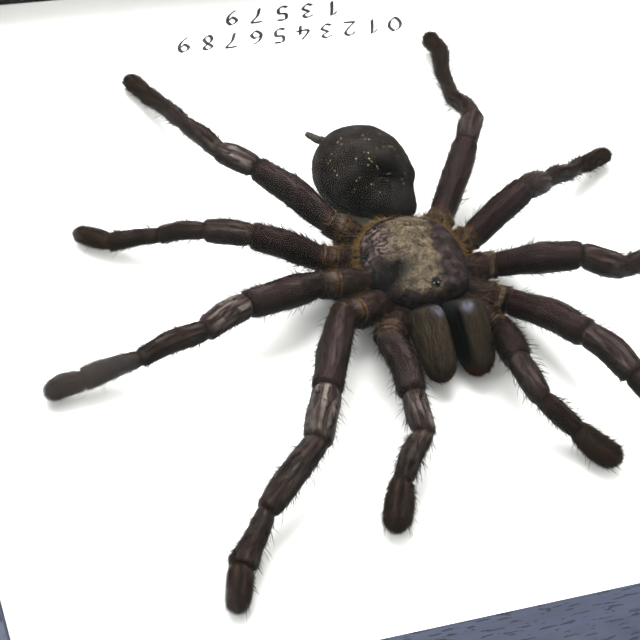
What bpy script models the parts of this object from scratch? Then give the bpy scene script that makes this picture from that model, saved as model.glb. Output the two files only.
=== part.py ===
"""A tarantula specimen in a shadow-box frame that lies on its back.

The dried spider is glued to a white card under glass. Its head points to -Y and +Z
comes out of the glass. The origin is at the middle of the frame's back. Metres.
"""
import math

import bmesh
import bpy
from mathutils import Matrix, Vector

MM = 0.001

# Frame: four mitred rails with a lip in front and a rabbet behind it
OPENING_X = 180.0 * MM
OPENING_Y = 168.0 * MM
RAIL_WIDTH = 20.0 * MM
RAIL_HEIGHT = 30.0 * MM
LIP_THICKNESS = 3.0 * MM
RABBET_DEPTH = 5.0 * MM
OUTER_ROUND = 1.5 * MM
LIP_ROUND = 0.5 * MM
GAP = 0.3 * MM

# What lies in the rabbet, from the back
BOARD_BACK = 2.0 * MM
BOARD_THICKNESS = 2.7 * MM
CARD_THICKNESS = 1.0 * MM
GLASS_THICKNESS = 1.7 * MM
SPACER_THICKNESS = 2.2 * MM

# Retaining tabs driven into slots in the rails, two to a rail
TAB_SPACING = 110.0 * MM
TAB_WIDTH = 10.0 * MM
TAB_THICKNESS = 0.5 * MM
TAB_IN_RAIL = 4.0 * MM
TAB_OVER_BOARD = 8.0 * MM
TAB_ROUND = 3.0 * MM

# Sawtooth hanger on the board, at the head end
HANGER_LENGTH = 44.0 * MM
HANGER_WIDTH = 9.0 * MM
HANGER_THICKNESS = 0.7 * MM
HANGER_Y = -62.0 * MM
TOOTH_COUNT = 9
TOOTH_DEPTH = 2.2 * MM
RIVET_RADIUS = 2.2 * MM
RIVET_HEIGHT = 0.6 * MM

# Spider: plan half width and lengths of the carapace, heights above the card
CARAPACE_HALF_WIDTH = 10.4 * MM
CARAPACE_WIDEST_Y = -2.0 * MM
CARAPACE_BACK = 9.9 * MM
CARAPACE_FRONT = 11.2 * MM
FRONT_SQUARENESS = 4.2
HEAD_NARROWING = 0.22
HEAD_TURN = math.radians(3.0)
RIM_HEIGHT = 8.3 * MM
HEAD_LIFT = 2.0 * MM
DOME_HEIGHT = 4.2 * MM
STERNUM_HEIGHT = 3.2 * MM
BODY_SIDES = 24
DOME_SHARES = (0.0, 0.15, 0.35, 0.58, 0.8)

ABDOMEN_CENTRE = Vector((-2.2, 20.3, 8.6)) * MM
ABDOMEN_HALF_SIZE = Vector((9.5, 9.9, 7.8)) * MM

CHELICERA_CENTRE = Vector((3.6, -20.7, 6.9)) * MM
CHELICERA_HALF_SIZE = Vector((3.3, 7.1, 3.5)) * MM
CHELICERA_DROOP = math.radians(34)
FANG_RADIUS = 0.55 * MM
FANG_ROUTE = ((3.6, -24.0, 0.95), (3.5, -22.4, 0.95), (3.1, -20.7, 1.0), (2.6, -19.0, 1.1))

PEDICEL_RADIUS = 1.2 * MM
PEDICEL_HEIGHT = 6.2 * MM
PEDICEL_FRONT_Y = 5.2 * MM
PEDICEL_BACK_Y = 9.9 * MM

# Spinnerets at the abdomen's tail, which is turned to the spider's right
SPINNERET_RADIUS = 0.8 * MM
SPINNERET_LENGTH = 3.3 * MM
SPINNERETS = (("right", (-7.8, 28.7, 9.4), 134), ("left", (-4.6, 30.2, 5.6), 108))

GLUE_RADIUS = 5.0 * MM

# Limbs: three radii for the coxa and the trochanter in mm, near, middle and far
LIMB_SIDES = 8
COXA_RADII = (2.0, 2.15, 2.05)
TROCHANTER_RADII = (2.0, 2.1, 2.05)
COXA_SHARE = 0.66
JOINT_NECK = 0.85
RING_SHARES = (0.14, 0.5, 0.86)
TIP_SHARE = 0.96
TIP_TAPER = 0.65

# Lengths and radii in mm, from the femur to the tarsus. A radius is near, middle, far.
SEGMENTS = {
    "leg_1": ((18.5, 11.5, 14.5, 10.5, 7.8),
              ((2.2, 2.6, 2.4), (2.2, 2.5, 2.2), (2.0, 2.2, 1.9), (1.6, 1.8, 2.1), (1.8, 1.9, 1.6))),
    "leg_2": ((16.5, 9.8, 12.0, 10.2, 6.8),
              ((2.2, 2.6, 2.3), (2.1, 2.3, 2.0), (1.8, 1.9, 1.6), (1.5, 1.65, 1.7), (1.6, 1.8, 1.6))),
    "leg_3": ((13.6, 8.5, 9.6, 9.1, 7.0),
              ((2.2, 2.5, 2.3), (2.0, 2.2, 1.8), (1.5, 1.6, 1.5), (1.4, 1.4, 1.5), (1.5, 1.6, 1.4))),
    "leg_4": ((16.6, 7.6, 11.8, 17.0, 6.4),
              ((2.1, 2.4, 2.1), (1.9, 2.1, 1.8), (1.6, 1.7, 1.5), (1.4, 1.4, 1.5), (1.5, 1.6, 1.4))),
    "palp": ((12.4, 8.4, 9.1, 9.3),
             ((2.1, 2.5, 2.3), (1.9, 2.1, 1.8), (1.7, 1.8, 1.6), (1.8, 2.3, 1.9))),
}

# Pose: where the coxa leaves the body, where the femur starts (x, y, height above the
# card in mm), then for each segment its heading in plan in degrees and the height of
# its far end in mm. The spider's own right side is at -X.
POSES = {
    "leg_1_right": ((-8.4, -9.6, 4.8), (-17.8, -13.1, 8.5),
                    ((242, 10), (243, 10.5), (218, 6), (231, 4), (248, 2.5))),
    "leg_1_left": ((8.6, -9.2, 4.8), (16.0, -12.5, 4.5),
                   ((294, 12), (289, 13), (313, 6), (300, 4), (283, 2.5))),
    "leg_2_right": ((-9.4, -4.1, 4.8), (-19.0, -4.0, 7.0),
                    ((198, 10.5), (205, 10.5), (182, 6), (186, 4), (185, 2.5))),
    "leg_2_left": ((9.4, -4.1, 4.8), (17.0, -3.5, 4.5),
                   ((327, 13), (351, 9.5), (14, 6), (9, 4), (10, 2.5))),
    "leg_3_right": ((-9.0, 1.0, 4.8), (-16.5, 2.5, 6.5),
                    ((163, 11), (164, 11.2), (144, 6.2), (162, 3.2), (141, 2.2))),
    "leg_3_left": ((9.0, 1.0, 4.8), (14.0, 2.5, 6.0),
                   ((21, 13), (30, 10), (27, 7), (32, 4), (27, 2.5))),
    "leg_4_right": ((-6.4, 5.0, 4.8), (-12.5, 9.5, 8.0),
                    ((132, 12), (136, 12), (106, 9), (101, 3), (110, 2.2))),
    "leg_4_left": ((6.4, 5.0, 4.8), (10.5, 9.0, 6.0),
                   ((55, 11.5), (57, 11.5), (87, 7), (76, 5), (85, 3))),
    "palp_right": ((-7.2, -14.9, 5.4), (-11.3, -19.6, 8.5),
                   ((270, 8.5), (262, 8.5), (228, 5), (245, 3))),
    "palp_left": ((8.4, -14.6, 4.8), (11.3, -19.4, 5.5),
                  ((255, 11), (282, 9.5), (325, 4.5), (308, 3))),
}

# What follows from the driving dimensions
OUTER_X = OPENING_X + 2 * RAIL_WIDTH
OUTER_Y = OPENING_Y + 2 * RAIL_WIDTH
INSERT_X = OPENING_X + 2 * (RABBET_DEPTH - GAP)
INSERT_Y = OPENING_Y + 2 * (RABBET_DEPTH - GAP)
CARD_TOP = BOARD_BACK + BOARD_THICKNESS + GAP + CARD_THICKNESS
GLASS_TOP = RAIL_HEIGHT - LIP_THICKNESS - GAP
GLASS_BACK = GLASS_TOP - GLASS_THICKNESS
TAB_BACK = BOARD_BACK - GAP - TAB_THICKNESS

MATERIALS = {
    "rail_wood": ((0.035, 0.037, 0.045), 0.42, 0.0),
    "spacer_black": ((0.012, 0.012, 0.014), 0.7, 0.0),
    "clear_glass": ((0.9, 0.95, 0.93), 0.03, 0.0),
    "white_card": ((0.9, 0.9, 0.88), 0.85, 0.0),
    "backing_board": ((0.23, 0.13, 0.07), 0.8, 0.0),
    "plated_steel": ((0.55, 0.55, 0.56), 0.35, 1.0),
    "clear_glue": ((0.7, 0.62, 0.45), 0.3, 0.0),
    "dark_cuticle": ((0.035, 0.024, 0.021), 0.45, 0.0),
    "worn_carapace": ((0.15, 0.12, 0.08), 0.4, 0.0),
}


def clear_scene():
    for thing in list(bpy.data.objects):
        bpy.data.objects.remove(thing)


def material(name):
    """The named Principled material, made on first use."""
    if name in bpy.data.materials:
        return bpy.data.materials[name]
    colour, roughness, metallic = MATERIALS[name]
    made = bpy.data.materials.new(name)
    made.use_nodes = True
    shader = made.node_tree.nodes["Principled BSDF"]
    shader.inputs["Base Color"].default_value = (*colour, 1.0)
    shader.inputs["Roughness"].default_value = roughness
    shader.inputs["Metallic"].default_value = metallic
    return made


def finish(name, bm, finish_name, smooth=False):
    """Turns the bmesh into a named, linked object with outward faces."""
    bmesh.ops.recalc_face_normals(bm, faces=bm.faces)
    mesh = bpy.data.meshes.new(name)
    bm.to_mesh(mesh)
    bm.free()
    if smooth:
        mesh.shade_smooth()
        mesh.set_sharp_from_angle(angle=math.radians(50))
    mesh.materials.append(material(finish_name))
    made = bpy.data.objects.new(name, mesh)
    bpy.context.scene.collection.objects.link(made)
    return made


def add_box(bm, low, high):
    """Adds a box between two corners and returns its vertices."""
    low = Vector(low)
    high = Vector(high)
    size = high - low
    place = Matrix.Translation((low + high) / 2) @ Matrix.Diagonal((*size, 1.0))
    return bmesh.ops.create_cube(bm, size=1.0, matrix=place)["verts"]


def box(name, low, high, finish_name):
    bm = bmesh.new()
    add_box(bm, low, high)
    return finish(name, bm, finish_name)


def plate(name, outline, back, thickness, finish_name, round_corners=(), radius=0.0):
    """A flat plate of an outline in plan, with some of its corners rounded."""
    bm = bmesh.new()
    corners = [bm.verts.new((x, y, back)) for x, y in outline]
    bm.faces.new(corners)
    if round_corners:
        bmesh.ops.bevel(bm, geom=[corners[i] for i in round_corners], offset=radius, segments=4,
                        profile=0.5, affect="VERTICES", material=-1)
    grown = bmesh.ops.extrude_face_region(bm, geom=bm.faces[:])["geom"]
    upper = [item for item in grown if isinstance(item, bmesh.types.BMVert)]
    bmesh.ops.translate(bm, verts=upper, vec=(0, 0, thickness))
    return finish(name, bm, finish_name)


# Frame


def rail_blank(outer_length):
    """A mitred rail along X, its outer side at y = 0 and its lip towards +Y."""
    bm = bmesh.new()
    rabbet = RAIL_WIDTH - RABBET_DEPTH
    outline = ((0, 0), (0, RAIL_HEIGHT), (RAIL_WIDTH, RAIL_HEIGHT),
               (RAIL_WIDTH, RAIL_HEIGHT - LIP_THICKNESS),
               (rabbet, RAIL_HEIGHT - LIP_THICKNESS), (rabbet, 0))
    corners = [bm.verts.new((0, inward, height)) for inward, height in outline]
    bm.faces.new(corners)
    for corner, radius in ((corners[1], OUTER_ROUND), (corners[2], LIP_ROUND)):
        bmesh.ops.bevel(bm, geom=[corner], offset=radius, segments=3, profile=0.5,
                        affect="VERTICES", material=-1)
    first = bm.verts[:]
    grown = bmesh.ops.extrude_face_region(bm, geom=bm.faces[:])["geom"]
    mitre_gap = GAP * math.sqrt(0.5)
    for vert in first:
        vert.co.x = -(outer_length / 2 - vert.co.y - mitre_gap)
    for vert in grown:
        if isinstance(vert, bmesh.types.BMVert):
            vert.co.x = outer_length / 2 - vert.co.y - mitre_gap
    return bm


def slot_cutter(name, turn):
    """Two boxes that cut the tab slots of one rail."""
    bm = bmesh.new()
    inner = RAIL_WIDTH - RABBET_DEPTH
    for side in (-1, 1):
        middle = side * TAB_SPACING / 2
        half = TAB_WIDTH / 2 + GAP
        add_box(bm, (middle - half, inner - TAB_IN_RAIL - GAP, TAB_BACK - GAP),
                (middle + half, inner + 1 * MM, TAB_BACK + TAB_THICKNESS + GAP))
    bmesh.ops.transform(bm, matrix=turn, verts=bm.verts)
    cutter = finish(name, bm, "plated_steel")
    cutter.hide_render = True
    cutter.display_type = "WIRE"
    return cutter


def rail_turns():
    """Name, outer length and placing of each rail, going round from the head end."""
    yield "near", OUTER_X, Matrix.Translation((0, -OUTER_Y / 2, 0))
    yield "right", OUTER_Y, Matrix.Translation((OUTER_X / 2, 0, 0)) @ Matrix.Rotation(math.pi / 2, 4, "Z")
    yield "far", OUTER_X, Matrix.Translation((0, OUTER_Y / 2, 0)) @ Matrix.Rotation(math.pi, 4, "Z")
    yield "left", OUTER_Y, Matrix.Translation((-OUTER_X / 2, 0, 0)) @ Matrix.Rotation(-math.pi / 2, 4, "Z")


def rails_and_tabs():
    for side, outer_length, turn in rail_turns():
        bm = rail_blank(outer_length)
        bmesh.ops.transform(bm, matrix=turn, verts=bm.verts)
        rail = finish(f"rail_{side}", bm, "rail_wood", smooth=True)
        slots = rail.modifiers.new("tab slots", "BOOLEAN")
        slots.operation = "DIFFERENCE"
        slots.solver = "EXACT"
        slots.object = slot_cutter(f"slots_{side}", turn)
        for number, direction in enumerate((-1, 1), start=1):
            tab(f"tab_{side}_{number}", direction * TAB_SPACING / 2, turn)


def tab(name, along, turn):
    """A retaining tab: one end in its slot, the round end over the board."""
    inner = RAIL_WIDTH - RABBET_DEPTH
    half = TAB_WIDTH / 2
    low = inner - TAB_IN_RAIL
    high = inner + TAB_OVER_BOARD
    outline = ((along - half, low), (along + half, low), (along + half, high), (along - half, high))
    made = plate(name, outline, TAB_BACK, TAB_THICKNESS, "plated_steel", (2, 3), TAB_ROUND)
    made.matrix_world = turn
    return made


def spacers():
    """Black strips that hold the glass off the card, the long pair between the short pair."""
    low = CARD_TOP + GAP
    high = GLASS_BACK - GAP
    far_x = INSERT_X / 2
    far_y = INSERT_Y / 2
    for side, sign in (("left", -1), ("right", 1)):
        edges = sorted((sign * far_x, sign * (far_x - SPACER_THICKNESS)))
        box(f"spacer_{side}", (edges[0], -far_y, low), (edges[1], far_y, high), "spacer_black")
    reach = far_x - SPACER_THICKNESS - GAP
    for side, sign in (("near", -1), ("far", 1)):
        edges = sorted((sign * far_y, sign * (far_y - SPACER_THICKNESS)))
        box(f"spacer_{side}", (-reach, edges[0], low), (reach, edges[1], high), "spacer_black")


def inserts():
    """Glass, card and backing board, which all fill the rabbet."""
    layers = (
        ("backing_board", BOARD_BACK, BOARD_THICKNESS, "backing_board"),
        ("mount_card", CARD_TOP - CARD_THICKNESS, CARD_THICKNESS, "white_card"),
        ("glass", GLASS_BACK, GLASS_THICKNESS, "clear_glass"),
    )
    for name, back, thickness, finish_name in layers:
        box(name, (-INSERT_X / 2, -INSERT_Y / 2, back),
            (INSERT_X / 2, INSERT_Y / 2, back + thickness), finish_name)


def hanger():
    """A sawtooth strip whose teeth point away from the head end, and its two rivets."""
    half = HANGER_LENGTH / 2
    low = HANGER_Y - HANGER_WIDTH / 2
    high = HANGER_Y + HANGER_WIDTH / 2
    toothed = HANGER_LENGTH * 0.6
    pitch = toothed / TOOTH_COUNT
    outline = [(-half, low), (half, low), (half, high)]
    for number in range(TOOTH_COUNT):
        start = toothed / 2 - number * pitch
        outline.append((start, high))
        outline.append((start - pitch / 2, high - TOOTH_DEPTH))
    outline += [(-toothed / 2, high), (-half, high)]
    back = BOARD_BACK - GAP - HANGER_THICKNESS
    last = len(outline) - 1
    plate("hanger", outline, back, HANGER_THICKNESS, "plated_steel", (0, 1, 2, last), 2 * MM)
    for side, sign in (("left", -1), ("right", 1)):
        bm = bmesh.new()
        bmesh.ops.create_cone(bm, cap_ends=True, segments=20, radius1=RIVET_RADIUS * 0.6,
                              radius2=RIVET_RADIUS, depth=RIVET_HEIGHT)
        place = Vector((sign * (half - 4 * MM), HANGER_Y, back - GAP - RIVET_HEIGHT / 2))
        bmesh.ops.translate(bm, verts=bm.verts, vec=place)
        finish(f"rivet_{side}", bm, "plated_steel", smooth=True)


# Spider


def on_card(point):
    """A point in mm with its height above the card, in metres from the frame's back."""
    return Vector(point) * MM + Vector((0, 0, CARD_TOP))


def loft(bm, rings, pole=None):
    """Joins rings of points into a skin, with a flat first end and a flat or pointed last end."""
    loops = []
    for points in rings:
        corners = [bm.verts.new(point) for point in points]
        edges = [bm.edges.new((corners[i - 1], corners[i])) for i in range(len(corners))]
        loops.append((corners, edges))
    for (_, near), (_, far) in zip(loops, loops[1:]):
        bmesh.ops.bridge_loops(bm, edges=near + far)
    bm.faces.new(loops[0][0])
    cap = bm.faces.new(loops[-1][0])
    if pole is not None:
        centre = bmesh.ops.poke(bm, faces=[cap])["verts"][0]
        centre.co = pole


def round_ring(centre, direction, radius, sides):
    """Points of a circle across a direction that isn't upright."""
    ahead = direction.normalized()
    aside = ahead.cross(Vector((0, 0, 1))).normalized()
    above = aside.cross(ahead)
    points = []
    for number in range(sides):
        angle = math.tau * number / sides
        points.append(centre + radius * (math.cos(angle) * aside + math.sin(angle) * above))
    return points


def shield(angle, scale):
    """The carapace's outline in plan, round behind and squarer and narrower at the head."""
    across = math.cos(angle)
    along = math.sin(angle)
    if along >= 0:
        x = CARAPACE_HALF_WIDTH * across
        y = CARAPACE_BACK * along
    else:
        power = 2 / FRONT_SQUARENESS
        x = CARAPACE_HALF_WIDTH * math.copysign(abs(across) ** power, across)
        y = -CARAPACE_FRONT * abs(along) ** power
        x *= 1 + HEAD_NARROWING * y / CARAPACE_FRONT
    return x * scale, y * scale + CARAPACE_WIDEST_Y


def head_rise(y):
    """How much higher the carapace stands at the head than at its widest place."""
    return HEAD_LIFT * max(0.0, (CARAPACE_WIDEST_Y - y) / CARAPACE_FRONT)


def head_turned(point):
    """A point of the head end, turned with the head about the carapace's middle."""
    middle = Vector((0, CARAPACE_WIDEST_Y, 0))
    return Matrix.Rotation(HEAD_TURN, 3, "Z") @ (point - middle) + middle


def prosoma():
    """Carapace and sternum in one piece, lofted from the flat belly up to the crown."""
    levels = [(0.50, STERNUM_HEIGHT, 0.0), (0.60, STERNUM_HEIGHT + 1.0 * MM, 0.0),
              (0.62, RIM_HEIGHT - 1.0 * MM, 0.8), (0.95, RIM_HEIGHT - 0.4 * MM, 1.0)]
    for share in DOME_SHARES:
        turn = share * math.pi / 2
        levels.append((math.cos(turn) ** 0.8, RIM_HEIGHT + DOME_HEIGHT * math.sin(turn), 1.0))
    rings = []
    for scale, height, rise in levels:
        ring = []
        for number in range(BODY_SIDES):
            x, y = shield(math.tau * number / BODY_SIDES, scale)
            ring.append(head_turned(Vector((x, y, CARD_TOP + height + rise * head_rise(y)))))
        rings.append(ring)
    crown = Vector((0, CARAPACE_WIDEST_Y, CARD_TOP + RIM_HEIGHT + DOME_HEIGHT))
    bm = bmesh.new()
    loft(bm, rings, crown)
    finish("carapace", bm, "worn_carapace", smooth=True)


def ellipsoid(name, centre, half_size, turn, finish_name):
    """A ball stretched to its half sizes and turned about its centre."""
    bm = bmesh.new()
    bmesh.ops.create_uvsphere(bm, u_segments=18, v_segments=12, radius=1.0)
    lying = Matrix.Rotation(math.pi / 2, 4, "X")
    place = Matrix.Translation(centre) @ turn
    bmesh.ops.transform(bm, matrix=place @ Matrix.Diagonal((*half_size, 1.0)) @ lying, verts=bm.verts)
    finish(name, bm, finish_name, smooth=True)


def body():
    """Abdomen, waist, chelicerae, fangs and spinnerets."""
    lift = Vector((0, 0, CARD_TOP))
    ellipsoid("abdomen", ABDOMEN_CENTRE + lift, ABDOMEN_HALF_SIZE, Matrix(), "dark_cuticle")
    bm = bmesh.new()
    ends = [Vector((0, y, CARD_TOP + PEDICEL_HEIGHT)) for y in (PEDICEL_FRONT_Y, PEDICEL_BACK_Y)]
    loft(bm, [round_ring(end, Vector((0, 1, 0)), PEDICEL_RADIUS, LIMB_SIDES) for end in ends])
    finish("pedicel", bm, "dark_cuticle", smooth=True)
    for side, sign in (("right", -1), ("left", 1)):
        mirror = Vector((sign, 1, 1))
        droop = Matrix.Rotation(HEAD_TURN, 4, "Z") @ Matrix.Rotation(CHELICERA_DROOP, 4, "X")
        ellipsoid(f"chelicera_{side}", head_turned(CHELICERA_CENTRE * mirror) + lift,
                  CHELICERA_HALF_SIZE, droop, "dark_cuticle")
        route = [head_turned(on_card(Vector(point) * mirror)) for point in FANG_ROUTE]
        taper = [1.0, 0.9, 0.6]
        bm = bmesh.new()
        rings = [round_ring(at, after - at, FANG_RADIUS * share, 6)
                 for at, after, share in zip(route, route[1:], taper)]
        loft(bm, rings, route[-1])
        finish(f"fang_{side}", bm, "dark_cuticle", smooth=True)
    for side, root, heading in SPINNERETS:
        start = on_card(root)
        turn = math.radians(heading)
        ahead = Vector((math.cos(turn), math.sin(turn), 0.05)).normalized()
        rings = [round_ring(start + ahead * SPINNERET_LENGTH * share, ahead, SPINNERET_RADIUS * width, 6)
                 for share, width in ((0, 1.0), (0.5, 0.95), (0.88, 0.7))]
        bm = bmesh.new()
        loft(bm, rings, start + ahead * SPINNERET_LENGTH)
        finish(f"spinneret_{side}", bm, "dark_cuticle", smooth=True)


def glue():
    """The dab of glue under the sternum that holds the spider to the card."""
    bm = bmesh.new()
    low = CARD_TOP + GAP
    high = CARD_TOP + STERNUM_HEIGHT - GAP
    bmesh.ops.create_cone(bm, cap_ends=True, segments=16, radius1=GLUE_RADIUS,
                          radius2=GLUE_RADIUS * 0.85, depth=high - low)
    bmesh.ops.translate(bm, verts=bm.verts, vec=(0, CARAPACE_WIDEST_Y, (low + high) / 2))
    finish("glue_pad", bm, "clear_glue", smooth=True)


def limb_joints(name):
    """The limb's joints from the coxa to the tip, and each segment's three radii."""
    root, hip, moves = POSES[name]
    lengths, radii = SEGMENTS[name.rsplit("_", 1)[0]]
    root = on_card(root)
    joints = [root, root.lerp(on_card(hip), COXA_SHARE), on_card(hip)]
    for length, (heading, height) in zip(lengths, moves):
        rise = CARD_TOP + height * MM - joints[-1].z
        reach = math.sqrt((length * MM) ** 2 - rise ** 2)
        turn = math.radians(heading)
        joints.append(joints[-1] + Vector((reach * math.cos(turn), reach * math.sin(turn), rise)))
    widths = [tuple(radius * MM for radius in row) for row in (COXA_RADII, TROCHANTER_RADII, *radii)]
    return joints, widths


def limb(name):
    """One leg or palp: a skin that swells in each segment and narrows at each joint."""
    joints, widths = limb_joints(name)
    steps = [after - before for before, after in zip(joints, joints[1:])]
    rings = []
    for number, (start, step, width) in enumerate(zip(joints, steps, widths)):
        bend = step.normalized()
        if number:
            bend = bend + steps[number - 1].normalized()
        neck = width[0] * (JOINT_NECK if number else 1.0)
        rings.append(round_ring(start, bend, neck, LIMB_SIDES))
        for share, radius in zip(RING_SHARES, width):
            rings.append(round_ring(start + step * share, step, radius, LIMB_SIDES))
    start, step, width = joints[-2], steps[-1], widths[-1]
    rings.append(round_ring(start + step * TIP_SHARE, step, width[2] * TIP_TAPER, LIMB_SIDES))
    bm = bmesh.new()
    loft(bm, rings, joints[-1])
    finish(name, bm, "dark_cuticle", smooth=True)


def main():
    clear_scene()
    rails_and_tabs()
    spacers()
    inserts()
    hanger()
    prosoma()
    body()
    glue()
    for name in POSES:
        limb(name)


main()
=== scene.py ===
"""The looks of a dried tarantula in a shadow-box frame, laid out as an add-on.

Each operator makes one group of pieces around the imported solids. The frame lies on its
back with the head towards -Y, and lengths are in metres unless a name says millimetres.
"""

import math
from typing import NamedTuple

import bmesh
import bpy
import numpy as np
from bpy.props import FloatProperty, FloatVectorProperty, IntProperty, PointerProperty
from mathutils import Matrix, Vector, noise


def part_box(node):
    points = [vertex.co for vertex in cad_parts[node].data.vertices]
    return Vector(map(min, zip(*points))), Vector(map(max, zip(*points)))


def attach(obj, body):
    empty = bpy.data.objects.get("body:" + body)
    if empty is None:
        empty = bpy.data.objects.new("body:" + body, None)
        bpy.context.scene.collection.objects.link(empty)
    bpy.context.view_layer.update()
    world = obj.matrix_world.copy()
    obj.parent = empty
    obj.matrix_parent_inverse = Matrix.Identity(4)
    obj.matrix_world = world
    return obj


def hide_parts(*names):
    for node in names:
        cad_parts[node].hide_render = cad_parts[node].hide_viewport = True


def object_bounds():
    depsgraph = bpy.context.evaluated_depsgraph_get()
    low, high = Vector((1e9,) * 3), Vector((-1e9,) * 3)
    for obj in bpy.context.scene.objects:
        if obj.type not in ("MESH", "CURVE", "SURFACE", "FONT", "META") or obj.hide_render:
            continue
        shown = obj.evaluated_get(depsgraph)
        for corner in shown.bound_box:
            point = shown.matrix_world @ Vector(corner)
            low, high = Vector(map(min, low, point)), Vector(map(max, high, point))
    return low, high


bl_info = {
    "name": "Mounted Tarantula",
    "version": (1, 0, 0),
    "blender": (4, 5, 0),
    "location": "View3D > Sidebar > Specimen",
    "description": "Finishes a framed, dried tarantula around its solids",
    "category": "Object",
}

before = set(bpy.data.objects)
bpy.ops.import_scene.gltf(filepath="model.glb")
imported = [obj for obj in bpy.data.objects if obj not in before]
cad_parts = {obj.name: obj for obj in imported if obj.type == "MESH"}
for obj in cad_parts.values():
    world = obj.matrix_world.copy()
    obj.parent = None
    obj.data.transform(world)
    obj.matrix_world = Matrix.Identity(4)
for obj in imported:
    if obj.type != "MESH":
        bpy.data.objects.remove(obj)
CAD_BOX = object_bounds()

MM = 0.001
WELD = 1e-6
CARD_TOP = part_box("mount_card")[1].z

LIMBS = [f"{kind}_{side}" for kind in ("leg_1", "leg_2", "leg_3", "leg_4", "palp")
         for side in ("right", "left")]


def colour(red, green, blue):
    """A linear colour from display values of 0 to 255."""
    levels = [level / 255 for level in (red, green, blue)]
    return tuple(x / 12.92 if x <= 0.04045 else ((x + 0.055) / 1.055) ** 2.4 for x in levels)


def shade(tone, share):
    """A colour made darker, or lighter where share is above 1."""
    return tuple(min(1.0, level * share) for level in tone)


def swatch(name, description, red, green, blue):
    """A colour property, given in display values of 0 to 255."""
    return FloatVectorProperty(name=name, description=description, subtype="COLOR", size=3,
                               min=0.0, max=1.0, default=colour(red, green, blue))


def length(name, description, millimetres):
    """A length property, given in millimetres."""
    return FloatProperty(name=name, description=description, unit="LENGTH", subtype="DISTANCE",
                         min=0.0, default=millimetres * MM)


def share_of_one(name, description, default):
    """A property from 0 to 1."""
    return FloatProperty(name=name, description=description, subtype="FACTOR", min=0.0, max=1.0,
                         default=default)


# What a user can change


class FrameLook(bpy.types.PropertyGroup):
    """Colours of the frame, its board and its fittings."""
    wood: swatch("Wood", "Stained face of the rails", 44, 51, 70)
    pore: swatch("Pores", "Stain gathered in the open pores", 18, 20, 28)
    edge: swatch("Edges", "Stain worn thin along the corners", 58, 64, 82)
    felt: swatch("Spacers", "Black strips under the glass", 27, 26, 30)
    board: swatch("Board", "Pressed fibre board at the back", 118, 84, 52)
    steel: swatch("Fittings", "Plated tabs, hanger and rivets", 178, 178, 174)
    pane: swatch("Glass", "Faint body colour of the glass", 40, 52, 48)
    pane_alpha: share_of_one("Glass alpha", "How much of the glass shows", 0.04)


class CardLook(bpy.types.PropertyGroup):
    """The white card and the numbers on it."""
    card: swatch("Card", "Uncoated white card", 243, 244, 242)
    ink: swatch("Ink", "Grey ink of the numbers", 56, 54, 56)
    upper_centre: length("First line", "Distance of the long line from the middle", 69.6)
    upper_width: length("First width", "Length of the long line", 52.0)
    lower_centre: length("Second line", "Distance of the short line from the middle", 76.4)
    lower_width: length("Second width", "Length of the short line", 28.0)
    digit_height: length("Digit height", "Height of a numeral", 4.1)
    nib: length("Nib", "Width of the pen's nib", 0.8)
    glue: swatch("Glue", "Dried clear glue under the spider", 196, 176, 128)


class SpiderLook(bpy.types.PropertyGroup):
    """Colours of the dried spider."""
    shell: swatch("Cuticle", "Dark brown skin of the limbs", 70, 44, 38)
    plum: swatch("Plum tint", "Purple cast of the thighs", 84, 46, 58)
    tan: swatch("Worn ridges", "Rubbed ridges and bare stripes", 214, 198, 188)
    limb_depth: share_of_one("Limb depth", "Lightness kept by the limbs' colours", 0.29)
    shell_depth: share_of_one("Shell depth", "Lightness kept by the carapace's colours", 0.4)
    velvet_depth: share_of_one("Abdomen depth", "Lightness kept by the abdomen's colours", 0.36)
    hair_depth: share_of_one("Hair depth", "Lightness kept by the hairs' colours", 0.36)
    membrane: swatch("Membrane", "Soft skin at the joints near the body", 182, 132, 84)
    olive: swatch("Olive", "Middle of the carapace", 190, 172, 146)
    band: swatch("Band", "Bare margin of the carapace", 108, 85, 92)
    velvet: swatch("Abdomen", "Matte skin of the abdomen", 58, 52, 50)
    sunken: swatch("Sunken", "Shrunken, darkened part of the abdomen", 27, 22, 21)
    gold: swatch("Golden hair", "Fringe of the carapace and coxae", 202, 168, 114)
    umber: swatch("Brown hair", "Felt of the feet", 84, 56, 30)
    bristle: swatch("Bristles", "Long dark hairs", 34, 25, 21)
    rust: swatch("Rusty hair", "Fringe at the ends of the jaws", 104, 48, 34)


class SkinSize(bpy.types.PropertyGroup):
    """How finely the skins are modelled and how deep their relief is."""
    sides: IntProperty(name="Sides", description="Faces around a limb", min=12, max=64, default=36)
    step: length("Step", "Spacing of the rings along a limb", 0.45)
    rim: length("Rim", "Length of the turned rim at a joint", 0.9)
    furrow: share_of_one("Furrow", "Depth of the furrows over the radius", 0.13)
    wrinkle: share_of_one("Wrinkle", "Depth of the wrinkles over the radius", 0.07)
    body_sides: IntProperty(name="Body sides", description="Faces around the body's shells",
                            min=24, max=200, default=144)


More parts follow.
